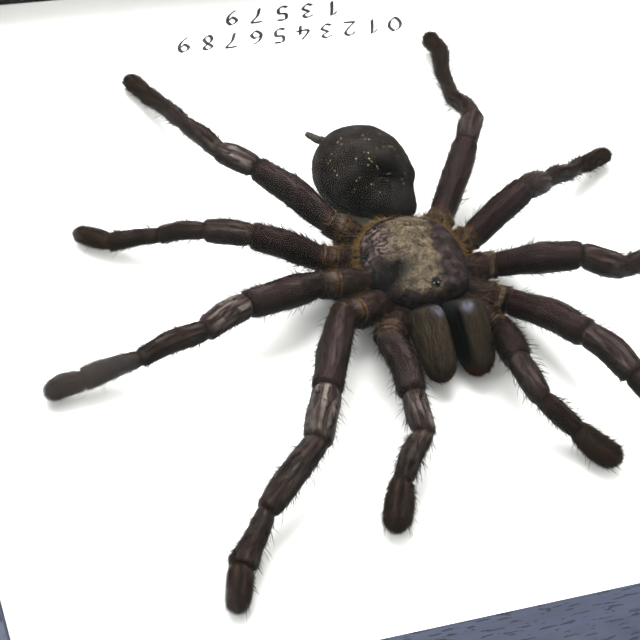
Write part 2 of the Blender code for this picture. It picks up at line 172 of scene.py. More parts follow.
class StageLook(bpy.types.PropertyGroup):
    """Camera, lights and floor."""
    azimuth: FloatProperty(name="Azimuth", description="Camera's turn about the frame",
                           subtype="ANGLE", default=math.radians(-29.05))
    elevation: FloatProperty(name="Elevation", description="Camera's height above the card",
                             subtype="ANGLE", default=math.radians(48.07))
    roll: FloatProperty(name="Roll", description="Camera's turn about its own axis",
                        subtype="ANGLE", default=math.radians(13.68))
    distance: length("Distance", "From the camera to where it aims", 329.3)
    aim: FloatVectorProperty(name="Aim", description="Point on the card that the camera faces",
                             subtype="XYZ", unit="LENGTH", size=3,
                             default=(-18.3 * MM, -6.6 * MM, CARD_TOP))
    lens: FloatProperty(name="Lens", description="Focal length in millimetres", default=102.5)
    key: FloatProperty(name="Key", description="Watts of the large soft light", default=13.0)
    fill: FloatProperty(name="Fill", description="Brightness of the room", default=1.8)
    gamma: FloatProperty(name="Gamma", description="Below 1 deepens the dark tones", default=0.8)
    floor: swatch("Floor", "Pale floor", 226, 226, 222)


# Shader nodes


class Value:
    """A number or colour on a node's socket. Sums on numbers add Math nodes."""

    def __init__(self, finish, socket):
        self.finish = finish
        self.socket = socket

    def math(self, operation, *terms):
        return self.finish.node("ShaderNodeMath", {"operation": operation}, dict(enumerate(terms)))

    def __add__(self, other):
        return self.math("ADD", self, other)

    def __rsub__(self, other):
        return self.math("SUBTRACT", other, self)

    def __mul__(self, other):
        return self.math("MULTIPLY", self, other)

    __radd__ = __add__
    __rmul__ = __mul__

    def clamped(self):
        return self.finish.node("ShaderNodeClamp", {}, {0: self})

    def above(self, low, high):
        """0 below low and 1 above high, with a smooth rise between them."""
        return self.finish.node("ShaderNodeMapRange", {"interpolation_type": "SMOOTHSTEP"},
                                {"Value": self, "From Min": low, "From Max": high})


class Finish:
    """A material under construction around one Principled shader."""

    def __init__(self, name, **plain):
        self.material = bpy.data.materials.new(name)
        self.material.use_nodes = True
        self.tree = self.material.node_tree
        self.shader = self.tree.nodes["Principled BSDF"]
        for socket, value in plain.items():
            self.set(self.shader.inputs[socket.replace("_", " ")], value)

    def set(self, socket, value):
        """Links a Value to a socket, or sets the socket's own number or colour."""
        if isinstance(value, Value):
            self.tree.links.new(value.socket, socket)
        elif socket.type == "RGBA" and len(value) == 3:
            socket.default_value = (*value, 1.0)
        else:
            socket.default_value = value

    def node(self, kind, settings, inputs, output=0):
        """Adds a node, with its settings first and then its sockets' values or links."""
        made = self.tree.nodes.new(kind)
        for name, value in settings.items():
            setattr(made, name, value)
        for name, value in inputs.items():
            self.set(made.inputs[name], value)
        return Value(self, made.outputs[output])

    def place(self):
        return self.node("ShaderNodeTexCoord", {}, {}, "Object")

    def mask(self, name):
        """One of the skin's own layers of numbers."""
        return self.node("ShaderNodeAttribute", {"attribute_name": name}, {}, "Fac")

    def flow(self, name):
        """One of the skin's own layers of vectors."""
        return self.node("ShaderNodeAttribute", {"attribute_name": name}, {}, "Vector")

    def stretched(self, vector, shares):
        """Coordinates on which a pattern stretches along each axis whose share is below 1."""
        return self.node("ShaderNodeVectorMath", {"operation": "MULTIPLY"}, {0: vector, 1: shares})

    def noise(self, vector, size, detail=3.0, rough=0.5, twist=0.0):
        """Cloudy noise whose blotches are about size metres wide."""
        return self.node("ShaderNodeTexNoise", {},
                         {"Vector": vector, "Scale": 1 / size, "Detail": detail,
                          "Roughness": rough, "Distortion": twist})

    def cells(self, vector, size):
        """Distance to the nearest of a scatter of points about size metres apart."""
        return self.node("ShaderNodeTexVoronoi", {}, {"Vector": vector, "Scale": 1 / size},
                         "Distance")

    def mix(self, share, first, second):
        return self.node("ShaderNodeMix", {"data_type": "RGBA"},
                         {"Factor": share, 6: first, 7: second}, 2)

    def layered(self, base, *coats):
        """The base under coats, each a share and the colour that it brings."""
        for share, tone in coats:
            base = self.mix(share, base, tone)
        return base

    def relief(self, *layers):
        """Bump nodes in a row, each from a height and how many metres deep it is."""
        normal = None
        for height, depth in layers:
            inputs = {"Height": height, "Distance": depth, "Strength": 1.0}
            if normal:
                inputs["Normal"] = normal
            normal = self.node("ShaderNodeBump", {}, inputs)
        self.set(self.shader.inputs["Normal"], normal)

    def done(self, base, roughness=None, depth=1.0):
        """Sets the base colour, made deeper when depth is below 1, and the roughness."""
        if depth < 1:
            base = self.mix(1 - depth, base, (0.0, 0.0, 0.0))
        self.set(self.shader.inputs["Base Color"], base)
        if roughness:
            self.set(self.shader.inputs["Roughness"], roughness)
        return self.material


def repaint(material, *nodes):
    """Gives CAD nodes a material in place of the one that they came with."""
    for name in nodes:
        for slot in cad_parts[name].material_slots:
            slot.material = material


# Meshes


def piece(name, bm, material, slot, *nodes):
    """Turns a bmesh into a smooth piece that rides on the body and stands for CAD nodes."""
    bmesh.ops.recalc_face_normals(bm, faces=bm.faces)
    mesh = bpy.data.meshes.new(name)
    bm.to_mesh(mesh)
    bm.free()
    mesh.shade_smooth()
    return placed(name, mesh, material, slot, *nodes)


def placed(name, mesh, material, slot, *nodes):
    """Puts a finished mesh in the scene as a piece that rides on the body."""
    mesh.materials.append(material)
    made = bpy.data.objects.new(name, mesh)
    bpy.context.scene.collection.objects.link(made)
    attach(made, "root")
    if nodes:
        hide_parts(*nodes)
    return made


def ease(share):
    """A smooth rise from 0 to 1."""
    share = min(1.0, max(0.0, share))
    return share * share * (3 - 2 * share)


def hump(distance, width):
    """1 at no distance, falling to 0 over about twice the width."""
    return math.exp(-(distance / width) ** 2)


def rough(point, size, seed=0.0):
    """Smooth noise of -1 to 1 whose blotches are about size metres wide."""
    return noise.noise(Vector(point) / size + Vector((seed, seed * 1.7, seed * 0.6)))


def creased(point, size, seed=0.0):
    """Noise with sharp valleys, 0 in a crease and up to 1 between creases."""
    return min(1.0, abs(rough(point, size, seed)) * 3.0)


def rings_of(name, sides):
    """Centre and radius of each ring of a pointed solid, root first, and its point."""
    solid = bmesh.new()
    solid.from_mesh(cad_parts[name].data)
    bmesh.ops.remove_doubles(solid, verts=solid.verts, dist=WELD)
    solid.verts.index_update()
    low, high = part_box("carapace")
    poles = [vert for vert in solid.verts if len(vert.link_edges) == sides]
    pole = max(poles, key=lambda vert: (vert.co - (low + high) / 2).length)
    tip = pole.co.copy()
    rings = []
    seen = {pole}
    ring = [pole]
    while ring:
        beyond = {edge.other_vert(vert) for vert in ring for edge in vert.link_edges} - seen
        ring = sorted(beyond, key=lambda vert: vert.index)
        seen |= beyond
        if ring:
            centre = sum((vert.co for vert in ring), Vector()) / len(ring)
            rings.append((centre, sum((vert.co - centre).length for vert in ring) / len(ring)))
    solid.free()
    rings.reverse()
    return rings, tip


class Tube:
    """A skin over rings along a middle line, with layers that its finish and hairs read."""

    def __init__(self, sides, masks):
        self.bm = bmesh.new()
        self.sides = sides
        self.masks = {name: self.bm.verts.layers.float.new(name) for name in masks}
        self.straight = self.bm.verts.layers.float_vector.new("straight")
        self.comb = self.bm.verts.layers.float_vector.new("comb")
        self.last = None
        self.travelled = 0.0
        self.centre = None

    def ring(self, centre, ahead, radius, shape):
        """Adds a ring. shape gives a point's share of the radius and its masks from its angle."""
        ahead = ahead.normalized()
        aside = ahead.cross(Vector((0, 0, 1))).normalized()
        above = aside.cross(ahead)
        if self.centre is not None:
            self.travelled += (centre - self.centre).length
        self.centre = centre
        verts = bmesh.ops.create_circle(self.bm, segments=self.sides, radius=1.0)["verts"]
        for number, vert in enumerate(verts):
            angle = math.tau * number / self.sides
            if angle > math.pi:
                angle -= math.tau
            outward = math.cos(angle) * above + math.sin(angle) * aside
            flat = Vector((math.cos(angle) * radius, math.sin(angle) * radius, self.travelled))
            share, masks = shape(angle, flat)
            vert.co = centre + outward * radius * share
            vert[self.straight] = flat
            vert[self.comb] = ahead
            for name, value in masks.items():
                vert[self.masks[name]] = value
        edges = [self.bm.edges.get((verts[i - 1], verts[i])) for i in range(self.sides)]
        if self.last:
            bmesh.ops.bridge_loops(self.bm, edges=self.last[1] + edges)
        else:
            self.bm.faces.new(verts)
        self.last = verts, edges

    def close(self, tip):
        cap = self.bm.faces.new(self.last[0])
        bmesh.ops.poke(self.bm, faces=[cap])["verts"][0].co = tip
        return self.bm


def ball(sides):
    """A unit ball as a bmesh, with its poles on Y."""
    bm = bmesh.new()
    bmesh.ops.create_uvsphere(bm, u_segments=sides, v_segments=sides * 2 // 3, radius=1.0)
    bmesh.ops.rotate(bm, verts=bm.verts, matrix=Matrix.Rotation(math.pi / 2, 3, "X"))
    return bm


# Hair


def strand(levels):
    """A hair's side steps, its shares of the length and its faces, from a pointed prism."""
    bm = bmesh.new()
    verts = bmesh.ops.create_circle(bm, cap_ends=True, segments=3, radius=1.0)["verts"]
    edges = [edge for edge in bm.edges]
    for place, width in levels:
        grown = bmesh.ops.extrude_edge_only(bm, edges=edges)["geom"]
        verts = [item for item in grown if isinstance(item, bmesh.types.BMVert)]
        edges = [item for item in grown if isinstance(item, bmesh.types.BMEdge)
                 and all(vert in verts for vert in item.verts)]
        for vert in verts:
            flat = vert.co.to_2d().normalized() * width
            vert.co = (flat.x, flat.y, place)
    bmesh.ops.pointmerge(bm, verts=verts, merge_co=(0, 0, 1))
    bmesh.ops.triangulate(bm, faces=bm.faces)
    bmesh.ops.recalc_face_normals(bm, faces=bm.faces)
    bm.verts.index_update()
    points = np.array([vert.co for vert in bm.verts])
    faces = np.array([[vert.index for vert in face.verts] for face in bm.faces])
    bm.free()
    return points, faces


SHORT_STRAND = strand([(0.55, 0.75), (1.0, 0.1)])
LONG_STRAND = strand([(0.3, 0.9), (0.65, 0.65), (1.0, 0.1)])


def unit(vectors):
    """The same directions with lengths of 1."""
    return vectors / np.maximum(np.linalg.norm(vectors, axis=1, keepdims=True), 1e-12)


def rows(items, key, width, kind=np.float32):
    """One property of every item, as an array with width columns."""
    values = np.zeros(len(items) * width, kind)
    items.foreach_get(key, values)
    return values.reshape(-1, width)


class Hair(NamedTuple):
    """A kind of hair: where it grows and how many, with lengths and radius in millimetres.

    lift is how far it stands up from the comb direction in degrees, stray how far it strays
    from there and bend how much it curls back down.
    """
    mask: str
    count: int
    shortest: float
    longest: float
    radius: float
    lift: float
    stray: float
    bend: float
    strand: tuple = SHORT_STRAND


FUZZ = Hair("fuzz", 3400, 0.5, 1.25, 0.03, 30, 0.25, 0.1)
BRISTLE = Hair("spike", 330, 1.2, 3.0, 0.045, 48, 0.3, 0.25, LONG_STRAND)
FELT = Hair("brush", 1150, 0.4, 0.95, 0.035, 48, 0.3, 0.2)
REAR_GOLD = Hair("golden", 420, 0.6, 1.8, 0.042, 46, 0.45, 0.2)
FRONT_GOLD = REAR_GOLD._replace(count=110)
MARGIN = Hair("margin", 2400, 0.8, 2.5, 0.048, 20, 0.5, 0.12)
LASH = Hair("lash", 130, 0.5, 1.3, 0.025, 50, 0.35, 0.1)
CARAPACE_DOWN = Hair("down", 3800, 0.3, 0.75, 0.018, 14, 0.25, 0.05)
JAW_FRINGE = Hair("fringe", 900, 0.5, 1.3, 0.034, 34, 0.3, 0.2)
JAW_DOWN = Hair("down", 2200, 0.5, 1.1, 0.03, 14, 0.14, 0.05)
ABDOMEN_DOWN = Hair("down", 7000, 0.3, 0.8, 0.028, 18, 0.28, 0.05)
# Least and most of its lift that a hair has
LIFT_RANGE = (0.7, 1.3)
# How deep a hair is rooted, over its radius
ROOT_DEPTH = 2


def hairs(skin, hair, seed):
    """Points, faces and shades of hairs rooted on a skin, thickest where their mask is high.

    The operators that make a ball don't number its corners alike on every run, so corners and
    faces are put in the order of their places first. The same hairs then grow each time.
    """
    rng = np.random.default_rng(seed)
    mesh = skin.data
    mesh.calc_loop_triangles()
    places = rows(mesh.vertices, "co", 3).astype(float)
    order = np.lexsort(places.T)
    corners = np.argsort(order)[rows(mesh.loop_triangles, "vertices", 3, np.int32)]
    corners = np.unique(np.sort(corners, axis=1), axis=0)
    places = places[order]
    normals = rows(mesh.vertices, "normal", 3).astype(float)[order]
    density = rows(mesh.attributes[hair.mask].data, "value", 1).astype(float)[order, 0]
    combs = rows(mesh.attributes["comb"].data, "vector", 3).astype(float)[order]
    first, second, third = (places[corners[:, i]] for i in range(3))
    areas = np.linalg.norm(np.cross(second - first, third - first), axis=1)
    weights = areas * density[corners].mean(axis=1)
    if weights.sum() <= 0:
        raise RuntimeError(f"{skin.name} has nowhere for hairs to grow")
    count = hair.count
    picked = corners[rng.choice(len(corners), size=count, p=weights / weights.sum())]
    shares = rng.dirichlet((1, 1, 1), size=count)[:, :, None]
    roots, normal, comb = ((values[picked] * shares).sum(axis=1)
                           for values in (places, normals, combs))
    normal = unit(normal)
    comb = unit(comb - normal * (comb * normal).sum(axis=1, keepdims=True))
    wild = rng.normal(size=(count, 3))
    rise = np.radians(hair.lift) * rng.uniform(*LIFT_RANGE, size=(count, 1))
    ahead = unit(comb * np.cos(rise) + normal * np.sin(rise) + wild * hair.stray)
    side = unit(np.cross(ahead, rng.normal(size=(count, 3))))
    other = np.cross(ahead, side)
    reaches = rng.uniform(hair.shortest * MM, hair.longest * MM, size=(count, 1))
    points, faces = hair.strand
    across, aside, along = (points[None, :, i, None] for i in range(3))
    radius = hair.radius * MM
    body = (ahead[:, None] * along + comb[:, None] * hair.bend * along ** 2
            - normal[:, None] * hair.bend * 0.5 * along ** 2)
    thick = radius * (side[:, None] * across + other[:, None] * aside)
    roots = roots - normal * radius * ROOT_DEPTH
    made = roots[:, None] + body * reaches[:, None] + thick
    shades = np.repeat(rng.uniform(size=count), len(points))
    offsets = np.arange(count)[:, None, None] * len(points)
    return made.reshape(-1, 3), (faces[None] + offsets).reshape(-1, 3), shades


def coat(name, batches, material, slot="dark_cuticle"):
    """Joins batches of hairs into one piece."""
    start = 0
    points, faces, shades = [], [], []
    for batch_points, batch_faces, batch_shades in batches:
        points.append(batch_points)
        faces.append(batch_faces + start)
        shades.append(batch_shades)
        start += len(batch_points)
    mesh = bpy.data.meshes.new(name)
    mesh.from_pydata(np.concatenate(points).tolist(), [], np.concatenate(faces).tolist())
    lightness = mesh.attributes.new("shade", "FLOAT", "POINT")
    lightness.data.foreach_set("value", np.concatenate(shades).astype(np.float32))
    mesh.shade_smooth()
    return placed(name, mesh, material, slot)


def hair_finish(name, tone, spread, look):
    """Hair whose strands differ in lightness."""
    finish = Finish(name, Roughness=0.5, IOR=1.16)
    lightness = finish.mask("shade")
    base = finish.mix(lightness, shade(tone, 1 - spread), shade(tone, 1 + spread))
    return finish.done(base, 0.62 - lightness * 0.2, look.hair_depth)


# Limbs

LIMB_MASKS = ("lit_ridge", "pale", "membrane", "foot", "plum", "fuzz", "brush", "spike", "golden",
              "gap")
REAR_LEGS = ("leg_3", "leg_4")
SEGMENT_NAMES = ("coxa", "trochanter", "femur", "patella", "tibia", "metatarsus", "tarsus")
PALP_NAMES = ("coxa", "trochanter", "femur", "patella", "tibia", "tarsus")
SOLID_SIDES = 8
JAW_SOLID_SIDES = 6

# For each segment: depth of its two upper furrows, the angle of each from the ridge,
# how pale its ridge is, its plum tint, its fuzz, its bristles and its foot felt
TRAITS = {
    "coxa": (0.3, 0.7, 0.25, 0.4, 0.8, 0.1, 0.0),
    "trochanter": (0.2, 0.7, 0.45, 0.3, 0.5, 0.1, 0.0),
    "femur": (0.6, 0.62, 0.24, 1.0, 0.7, 0.5, 0.0),
    "patella": (1.0, 0.38, 1.25, 0.5, 0.4, 0.6, 0.0),
    "tibia": (0.8, 0.42, 0.4, 0.25, 1.0, 1.3, 0.0),
    "metatarsus": (0.4, 0.4, 0.2, 0.1, 1.2, 1.5, 0.5),
    "tarsus": (1.7, 0.0, 0.1, 0.0, 1.0, 0.5, 1.0),
}
# How much fuller than its solid a segment is, how narrow it starts inside the rim of the
# one before, and how far it bows upwards in millimetres
FORMS = {
    "coxa": (1.42, 0.95, 0.0),
    "trochanter": (1.3, 0.94, 0.0),
    "femur": (1.1, 0.95, 0.55),
    "patella": (1.1, 0.84, 0.35),
    "tibia": (1.06, 0.9, 0.25),
    "metatarsus": (1.02, 0.88, -0.2),
    "tarsus": (0.92, 0.88, 0.0),
}
# Limbs whose ridges are rubbed pale, and how pale they are on the others
RUBBED = ("leg_1_right", "leg_2_right", "leg_4_right", "palp_right")
UNRUBBED = 0.35
# Purple cast of the limbs on each side
PLUM_CAST = {"left": 1.5, "right": 0.8}
# Golden hair at the roots of the front limbs, against the rear ones
FRONT_FRINGE = 0.35
# How far the coxa of a leg or a palp goes on inwards under the carapace
ROOT_REACH = 5.0 * MM


def swelling(share, widths):
    """Radius at a share of a segment's length, through its near, middle and far radii."""
    near, middle, far = widths
    if share < 0.5:
        return near + (middle - near) * math.sin(share * math.pi)
    return far + (middle - far) * math.sin(share * math.pi)


def segment_stops(reach, step, rim):
    """Distances along a segment where its rings stand, closer together at the joints."""
    count = max(2, round((reach - 2.4 * rim) / step))
    middle = [1.2 * rim + (reach - 2.4 * rim) * i / count for i in range(count + 1)]
    near = [rim * share for share in (0.0, 0.25, 0.5, 0.8)]
    far = [reach - rim * share for share in (0.85, 0.6, 0.38, 0.2, 0.08)]
    return near + middle + far


def joint_share(distance, left, rim, neck, last_neck):
    """How much a segment narrows where it slips into the rim of the one before it."""
    share = neck + (1 - neck) * ease(distance / (1.2 * rim))
    if last_neck:
        share *= last_neck + (1 - last_neck) * ease(left / (0.7 * rim))
    return share


def limb_skin(name, size, material):
    """One leg or palp, swollen in each segment, with rims, furrows and wrinkles."""
    rings, tip = rings_of(name, SOLID_SIDES)
    names = PALP_NAMES if name.startswith("palp") else SEGMENT_NAMES
    if len(rings) != 4 * len(names) + 1:
        raise RuntimeError(f"{name} has {len(rings)} rings, so its joints can't be found")
    joints = [rings[4 * i][0] for i in range(len(names))] + [tip]
    joints[0] = joints[0] + (joints[0] - joints[1]).normalized() * ROOT_REACH
    steps = [after - before for before, after in zip(joints, joints[1:])]
    seed = float(LIMBS.index(name)) * 3.1
    rim = size.rim
    tube = Tube(size.sides, LIMB_MASKS)
    gold = 1.0 if name.startswith(REAR_LEGS) else FRONT_FRINGE
    for number, (start, step, kind) in enumerate(zip(joints, steps, names)):
        furrow, spacing, pale, plum, fuzz, spike, foot = TRAITS[kind]
        pale *= 1.0 if name in RUBBED else UNRUBBED
        plum *= PLUM_CAST[name.rsplit("_", 1)[1]]
        girth, neck, bow = FORMS[kind]
        widths = [rings[4 * number + i][1] * girth for i in (1, 2, 3)]
        last = number == len(names) - 1
        last_neck = 0.0 if last else FORMS[names[number + 1]][1]
        reach = step.length
        before = steps[number - 1].normalized() if number else step.normalized()
        after = steps[number + 1].normalized() if not last else step.normalized()
        own = step.normalized()
        aside = own.cross(Vector((0, 0, 1))).normalized()
        tilt_in = max(1.5 * rim, 1.3 * widths[0] * math.tan(own.angle(before, 0) / 2))
        tilt_out = max(1.5 * rim, 1.3 * widths[2] * math.tan(own.angle(after, 0) / 2))
        sway = aside * rough((number * 5.0, seed, 0.3), 1.0, 2) * 0.9 * MM
        near_body = kind in ("coxa", "trochanter")
        round_end = widths[2] * 1.25
        for distance in segment_stops(reach, size.step, rim):
            left = reach - distance
            share = distance / reach
            radius = swelling(share, widths) * joint_share(distance, left, rim, neck, last_neck)
            if last and left < round_end:
                radius *= math.sqrt(max(0.02, 1 - (1 - left / round_end) ** 2))
            ahead = own + before * 0.999 * max(0.0, 1 - distance / tilt_in)
            ahead += after * 0.999 * max(0.0, 1 - left / tilt_out)
            inner = ease(distance / (1.5 * rim)) * ease(left / (1.5 * rim))
            arch = math.sin(math.pi * share) ** 2
            centre = start + step * share + (Vector((0, 0, bow * MM)) + sway) * arch
            soft = max(0.0, 1.15 - distance / (1.7 * rim))
            if kind == "femur":
                soft = max(0.0, 1 - distance / (1.2 * rim))
            elif not last:
                soft += max(0.0, 1 - left / (0.4 * rim))

            def shape(angle, flat):
                upper = max(0.0, math.cos(angle))
                grooves = hump(abs(angle) - spacing, 0.15) * inner
                wide = abs(math.sin(angle))
                wrinkle = rough((flat.x, flat.y, flat.z * 0.3), 1.6 * MM, seed)
                fine = creased((flat.x, flat.y, flat.z * 0.25), 0.8 * MM, seed + 5)
                dent = rough((flat.x * 0.5, flat.y * 0.5, flat.z * 0.5), 2.4 * MM, seed + 9)
                slope = rough((flat.x * 0.2, flat.y * 0.2, flat.z), 5.5 * MM, seed + 14)
                amount = 1.0 - size.furrow * furrow * grooves
                folds = wrinkle * 0.8 + dent * 0.9 - (1 - fine) * 0.35
                amount += size.wrinkle * folds * (0.35 + 0.65 * inner)
                amount += 0.07 * slope * inner
                if near_body:
                    around = (flat.x * 0.3, flat.y * 0.3, flat.z)
                    amount += 0.05 * rough(around, 0.75 * MM, seed + 21)
                if kind in ("tarsus", "metatarsus"):
                    amount *= 1 + 0.16 * wide * (share if kind == "metatarsus" else 1.0)
                lit_ridge = upper ** 1.5 * inner * (1 - 0.85 * grooves)
                lengthwise = (flat.x, flat.y, flat.z * 0.12)
                streak = ease(0.5 + 1.6 * rough(lengthwise, 0.9 * MM, seed + 3))
                masks = {
                    # Painted light: lit_ridge is highest on the upper side, which the finish
                    # paints lighter than the darker sides.
                    "lit_ridge": ease(upper * 1.5 - 0.45 + 0.5 * dent),
                    "pale": pale * lit_ridge * (0.4 + 0.6 * streak),
                    "membrane": min(1.0, soft) * (1.0 if near_body or kind == "femur" else 0.16)
                    * ease(1.5 * math.cos(angle) + 0.3),
                    "foot": foot * (ease(share * 1.6 - 0.3) if kind == "metatarsus" else 1.0),
                    "plum": min(1.0, plum * (0.4 + 0.6 * ease(upper * 1.4))),
                    "fuzz": fuzz * max(0.0, 1 - 0.8 * pale * lit_ridge) * (1 - min(1.0, soft)),
                    "brush": foot * (0.25 + 0.75 * wide + 0.5 * max(0.0, -math.cos(angle)))
                    * (ease(share * 2 - 0.7) if kind == "metatarsus" else 1.0),
                    "spike": spike * (0.4 + 0.9 * wide) * inner,
                    "golden": gold * (0.2 + upper) * (1.0 if kind == "coxa" else 0.3 * near_body),
                    # Painted shade: gap darkens the foot's grooves, the recess just inside each
                    # joint and the underside.
                    "gap": 0.8 * foot * grooves + 0.9 * hump(distance - 0.15 * rim, 0.3 * rim)
                    + 0.5 * ease(-0.6 - math.cos(angle)),
                }
                return amount, masks

            tube.ring(centre, ahead, radius, shape)
    return piece(name + "_skin", tube.close(tip), material, "dark_cuticle", name)


def limb_finish(look):
    """Dark cuticle with pale worn ridges, soft skin at the joints and specks of dust; painted
    light makes the top lighter, and painted shade darkens the sides, grooves, joint recesses and
    underside.
    """
    finish = Finish("limb_cuticle", IOR=1.26)
    flow = finish.flow("straight")
    place = finish.place()
    streaks = finish.noise(finish.stretched(flow, (1, 1, 0.14)), 0.3 * MM, 4.0, 0.6)
    blotches = finish.noise(flow, 2.2 * MM, 4.0, 0.62)
    grain = finish.noise(place, 0.2 * MM, 3.0, 0.6)
    worn = finish.noise(finish.stretched(flow, (1, 1, 0.3)), 1.0 * MM, 5.0, 0.65, 0.6)
    specks = finish.cells(place, 0.7 * MM)
    lit_ridge = finish.mask("lit_ridge")
    pale = (finish.mask("pale") * worn.above(0.40, 0.58) * (0.3 + streaks * 1.5)).clamped()
    # Painted shade: the sides keep this darkened cuticle, and the lit ridge paints the top lighter
    # over it.
    dark = shade(look.shell, 0.3)
    soft_skin = finish.mix(worn.above(0.48, 0.62), look.membrane, colour(220, 204, 186))
    base = finish.layered(
        dark,
        (lit_ridge * (0.25 + blotches * 1.2), look.shell),
        (finish.mask("plum") * lit_ridge * blotches.above(0.35, 0.7), look.plum),
        (finish.mask("foot") * blotches.above(0.3, 0.6) * 0.6, look.umber),
        (streaks.above(0.5, 0.78) * lit_ridge * 0.14, look.tan),
        (worn.above(0.46, 0.34) * 0.4, dark),
        (pale, look.tan),
        (finish.mask("membrane") * blotches.above(0.38, 0.62) * worn.above(0.3, 0.5), soft_skin),
        # Painted shade in the grooves, the joint recesses and underneath.
        (finish.mask("gap") * 0.85, colour(16, 12, 11)),
        (specks.above(0.1, 0.05) * blotches.above(0.45, 0.6) * 0.8, colour(206, 180, 128)))
    finish.relief((worn, 0.42 * MM), (streaks, 0.12 * MM), (grain, 0.08 * MM))
    return finish.done(base, 0.26 - pale * 0.08 + blotches * 0.2, look.limb_depth)


class SPECIMEN_OT_limbs(bpy.types.Operator):
    """Model the eight legs and two palps with their fuzz, bristles and felted feet"""
    bl_idname = "specimen.limbs"
    bl_label = "Limbs"

    def execute(self, context):
        look = context.scene.spider_look
        size = context.scene.skin_size
        cuticle = limb_finish(look)
        skins = [limb_skin(name, size, cuticle) for name in LIMBS]
        middling = tuple((a + b) / 2 for a, b in zip(look.shell, look.umber))
        fuzz = hair_finish("limb_fuzz", middling, 0.6, look)
        bristles, felt, fringe = [], [], []
        for number, (name, skin) in enumerate(zip(LIMBS, skins)):
            coat(f"{name}_fuzz", [hairs(skin, FUZZ, 100 + number)], fuzz)
            bristles.append(hairs(skin, BRISTLE, 200 + number))
            felt.append(hairs(skin, FELT, 300 + number))
            gold = REAR_GOLD if name.startswith(REAR_LEGS) else FRONT_GOLD
            fringe.append(hairs(skin, gold, 400 + number))
        coat("limb_bristles", bristles, hair_finish("bristle_hair", look.bristle, 0.5, look))
        coat("foot_felt", felt, hair_finish("felt_hair", look.umber, 0.55, look))
        coat("coxa_fringe", fringe, hair_finish("coxa_hair", look.gold, 0.45, look))
        return {"FINISHED"}


# Body, with the tables' places and sizes in millimetres

EYE_PLACE = Vector((0.1, -11.3)) * MM
FOVEA = Vector((0.4, 2.7)) * MM
HEAD_TURN = math.radians(3.0)
FRONT_SQUARENESS = 3.6
HEAD_NARROWING = 0.2
BACK_SHARE = 0.53
REAR_RIM = 7.7 * MM
FRONT_RIM = 4.9 * MM
CROWN = 12.6 * MM
# Share of the outline's size and of the way down to the sternum, below the rim
UNDERSIDE = ((0.0, 1.0, 0.0), (0.04, 0.985, 0.05), (0.09, 0.95, 0.08), (0.2, 0.88, 0.16),
             (0.35, 0.84, 0.36), (0.6, 0.78, 0.75), (0.75, 0.55, 0.98), (1.0, 0.0, 1.0))
# Radial grooves of the carapace, as headings from the fovea and depths in millimetres
GROOVES = ((36, 0.5), (80, 0.3), (114, 0.32), (147, 0.26))
# Worn pale patches, painted light enough to double as painted highlights: x, y, size and strength
WORN_PATCHES = ((-5.8, 2.4, 1.6, 1.0), (-6.4, -1.1, 1.2, 1.0), (-8.4, -1.6, 0.8, 1.0),
                (-4.6, 0.6, 0.8, 0.6), (5.6, -3.6, 0.7, 1.0), (-4.4, -4.3, 1.1, 0.5),
                (-7.6, 3.6, 0.6, 0.6), (1.0, 3.9, 1.2, 0.4))
# Hollows: x, y, depth and width
HOLLOWS = ((-6.6, -6.6, 0.8, 1.6), (6.9, -7.0, 0.4, 1.5), (-4.8, -1.6, 0.35, 1.3))
CARAPACE_MASKS = ("band", "worn", "shade_and_stain", "eyes", "under", "down", "margin", "lash")
# Each eye's place from the middle of the mound, and its radius
EYES = ((-0.45, -0.35, 0.32), (0.45, -0.35, 0.32), (-1.05, -0.75, 0.27), (1.05, -0.75, 0.27),
        (-0.75, 0.25, 0.17), (0.75, 0.25, 0.17), (-1.15, 0.1, 0.24), (1.15, 0.1, 0.24))
JAW_MASKS = ("stripe", "shine", "fringe", "down", "inner")
# How far the jaw's root reaches back, as a share of its solid's reach
JAW_ROOT = 0.96
# Dents and lumps of the abdomen: heading on the unit ball, width on it, and size
DENTS = ((0.12, -0.62, 0.62, 0.40, 2.3), (0.36, -0.66, 0.40, 0.26, 1.5),
         (-0.35, -0.75, 0.35, 0.35, 0.7))
LUMPS = ((0.52, -0.85, 0.0, 0.36, 3.2), (0.22, -0.97, -0.05, 0.4, 2.3),
         (0.80, -0.42, 0.3, 0.2, 0.8), (0.3, -0.28, 0.9, 0.16, 0.5))


def between(stops, place):
    """The row of values at a place, straight between a table's rows."""
    for (start, *low), (end, *high) in zip(stops, stops[1:]):
        if place <= end:
            share = (place - start) / (end - start)
            return [a + (b - a) * share for a, b in zip(low, high)]
    return list(stops[-1][1:])


def carapace_point(co, low, high):
    """Where a point of the unit ball goes on the carapace, and its share of the outline."""
    half_width = (high.x - low.x) / 2
    depth = high.y - low.y
    widest = low.y + depth * BACK_SHARE
    front = widest - low.y
    angle = math.atan2(co.y, co.x)
    across = math.cos(angle)
    along = math.sin(angle)
    if along >= 0:
        x = half_width * across
        y = (high.y - widest) * along
    else:
        power = 2 / FRONT_SQUARENESS
        x = half_width * math.copysign(abs(across) ** power, across)
        y = -front * abs(along) ** power
        x *= 1 + HEAD_NARROWING * y / front
    forward = ease(-y / front)
    rim = CARD_TOP + REAR_RIM + (FRONT_RIM - REAR_RIM) * forward
    boxy = 2.4 + 11 * ease(-along * 1.15)
    level = math.asin(max(-1.0, min(1.0, co.z))) / (math.pi / 2)
    if level >= 0:
        scale = math.cos(level * math.pi / 2) ** 0.9
        crown = CARD_TOP + CROWN - 0.9 * MM * ease(-y * scale / front)
        z = rim + (crown - rim) * max(0.0, 1 - scale ** boxy) ** 0.55
    else:
        scale, drop = between(UNDERSIDE, -level)
        z = rim - (rim - low.z) * drop
    x *= scale
    y *= scale
    turned = Matrix.Rotation(HEAD_TURN, 2) @ Vector((x, y))
    return Vector((turned.x, turned.y + widest, z)), scale if level >= 0 else 2 - scale


def from_spot(spot, x, y):
    """Distance of a place on the carapace from x and y in millimetres."""
    return (spot - Vector((x, y)) * MM).length


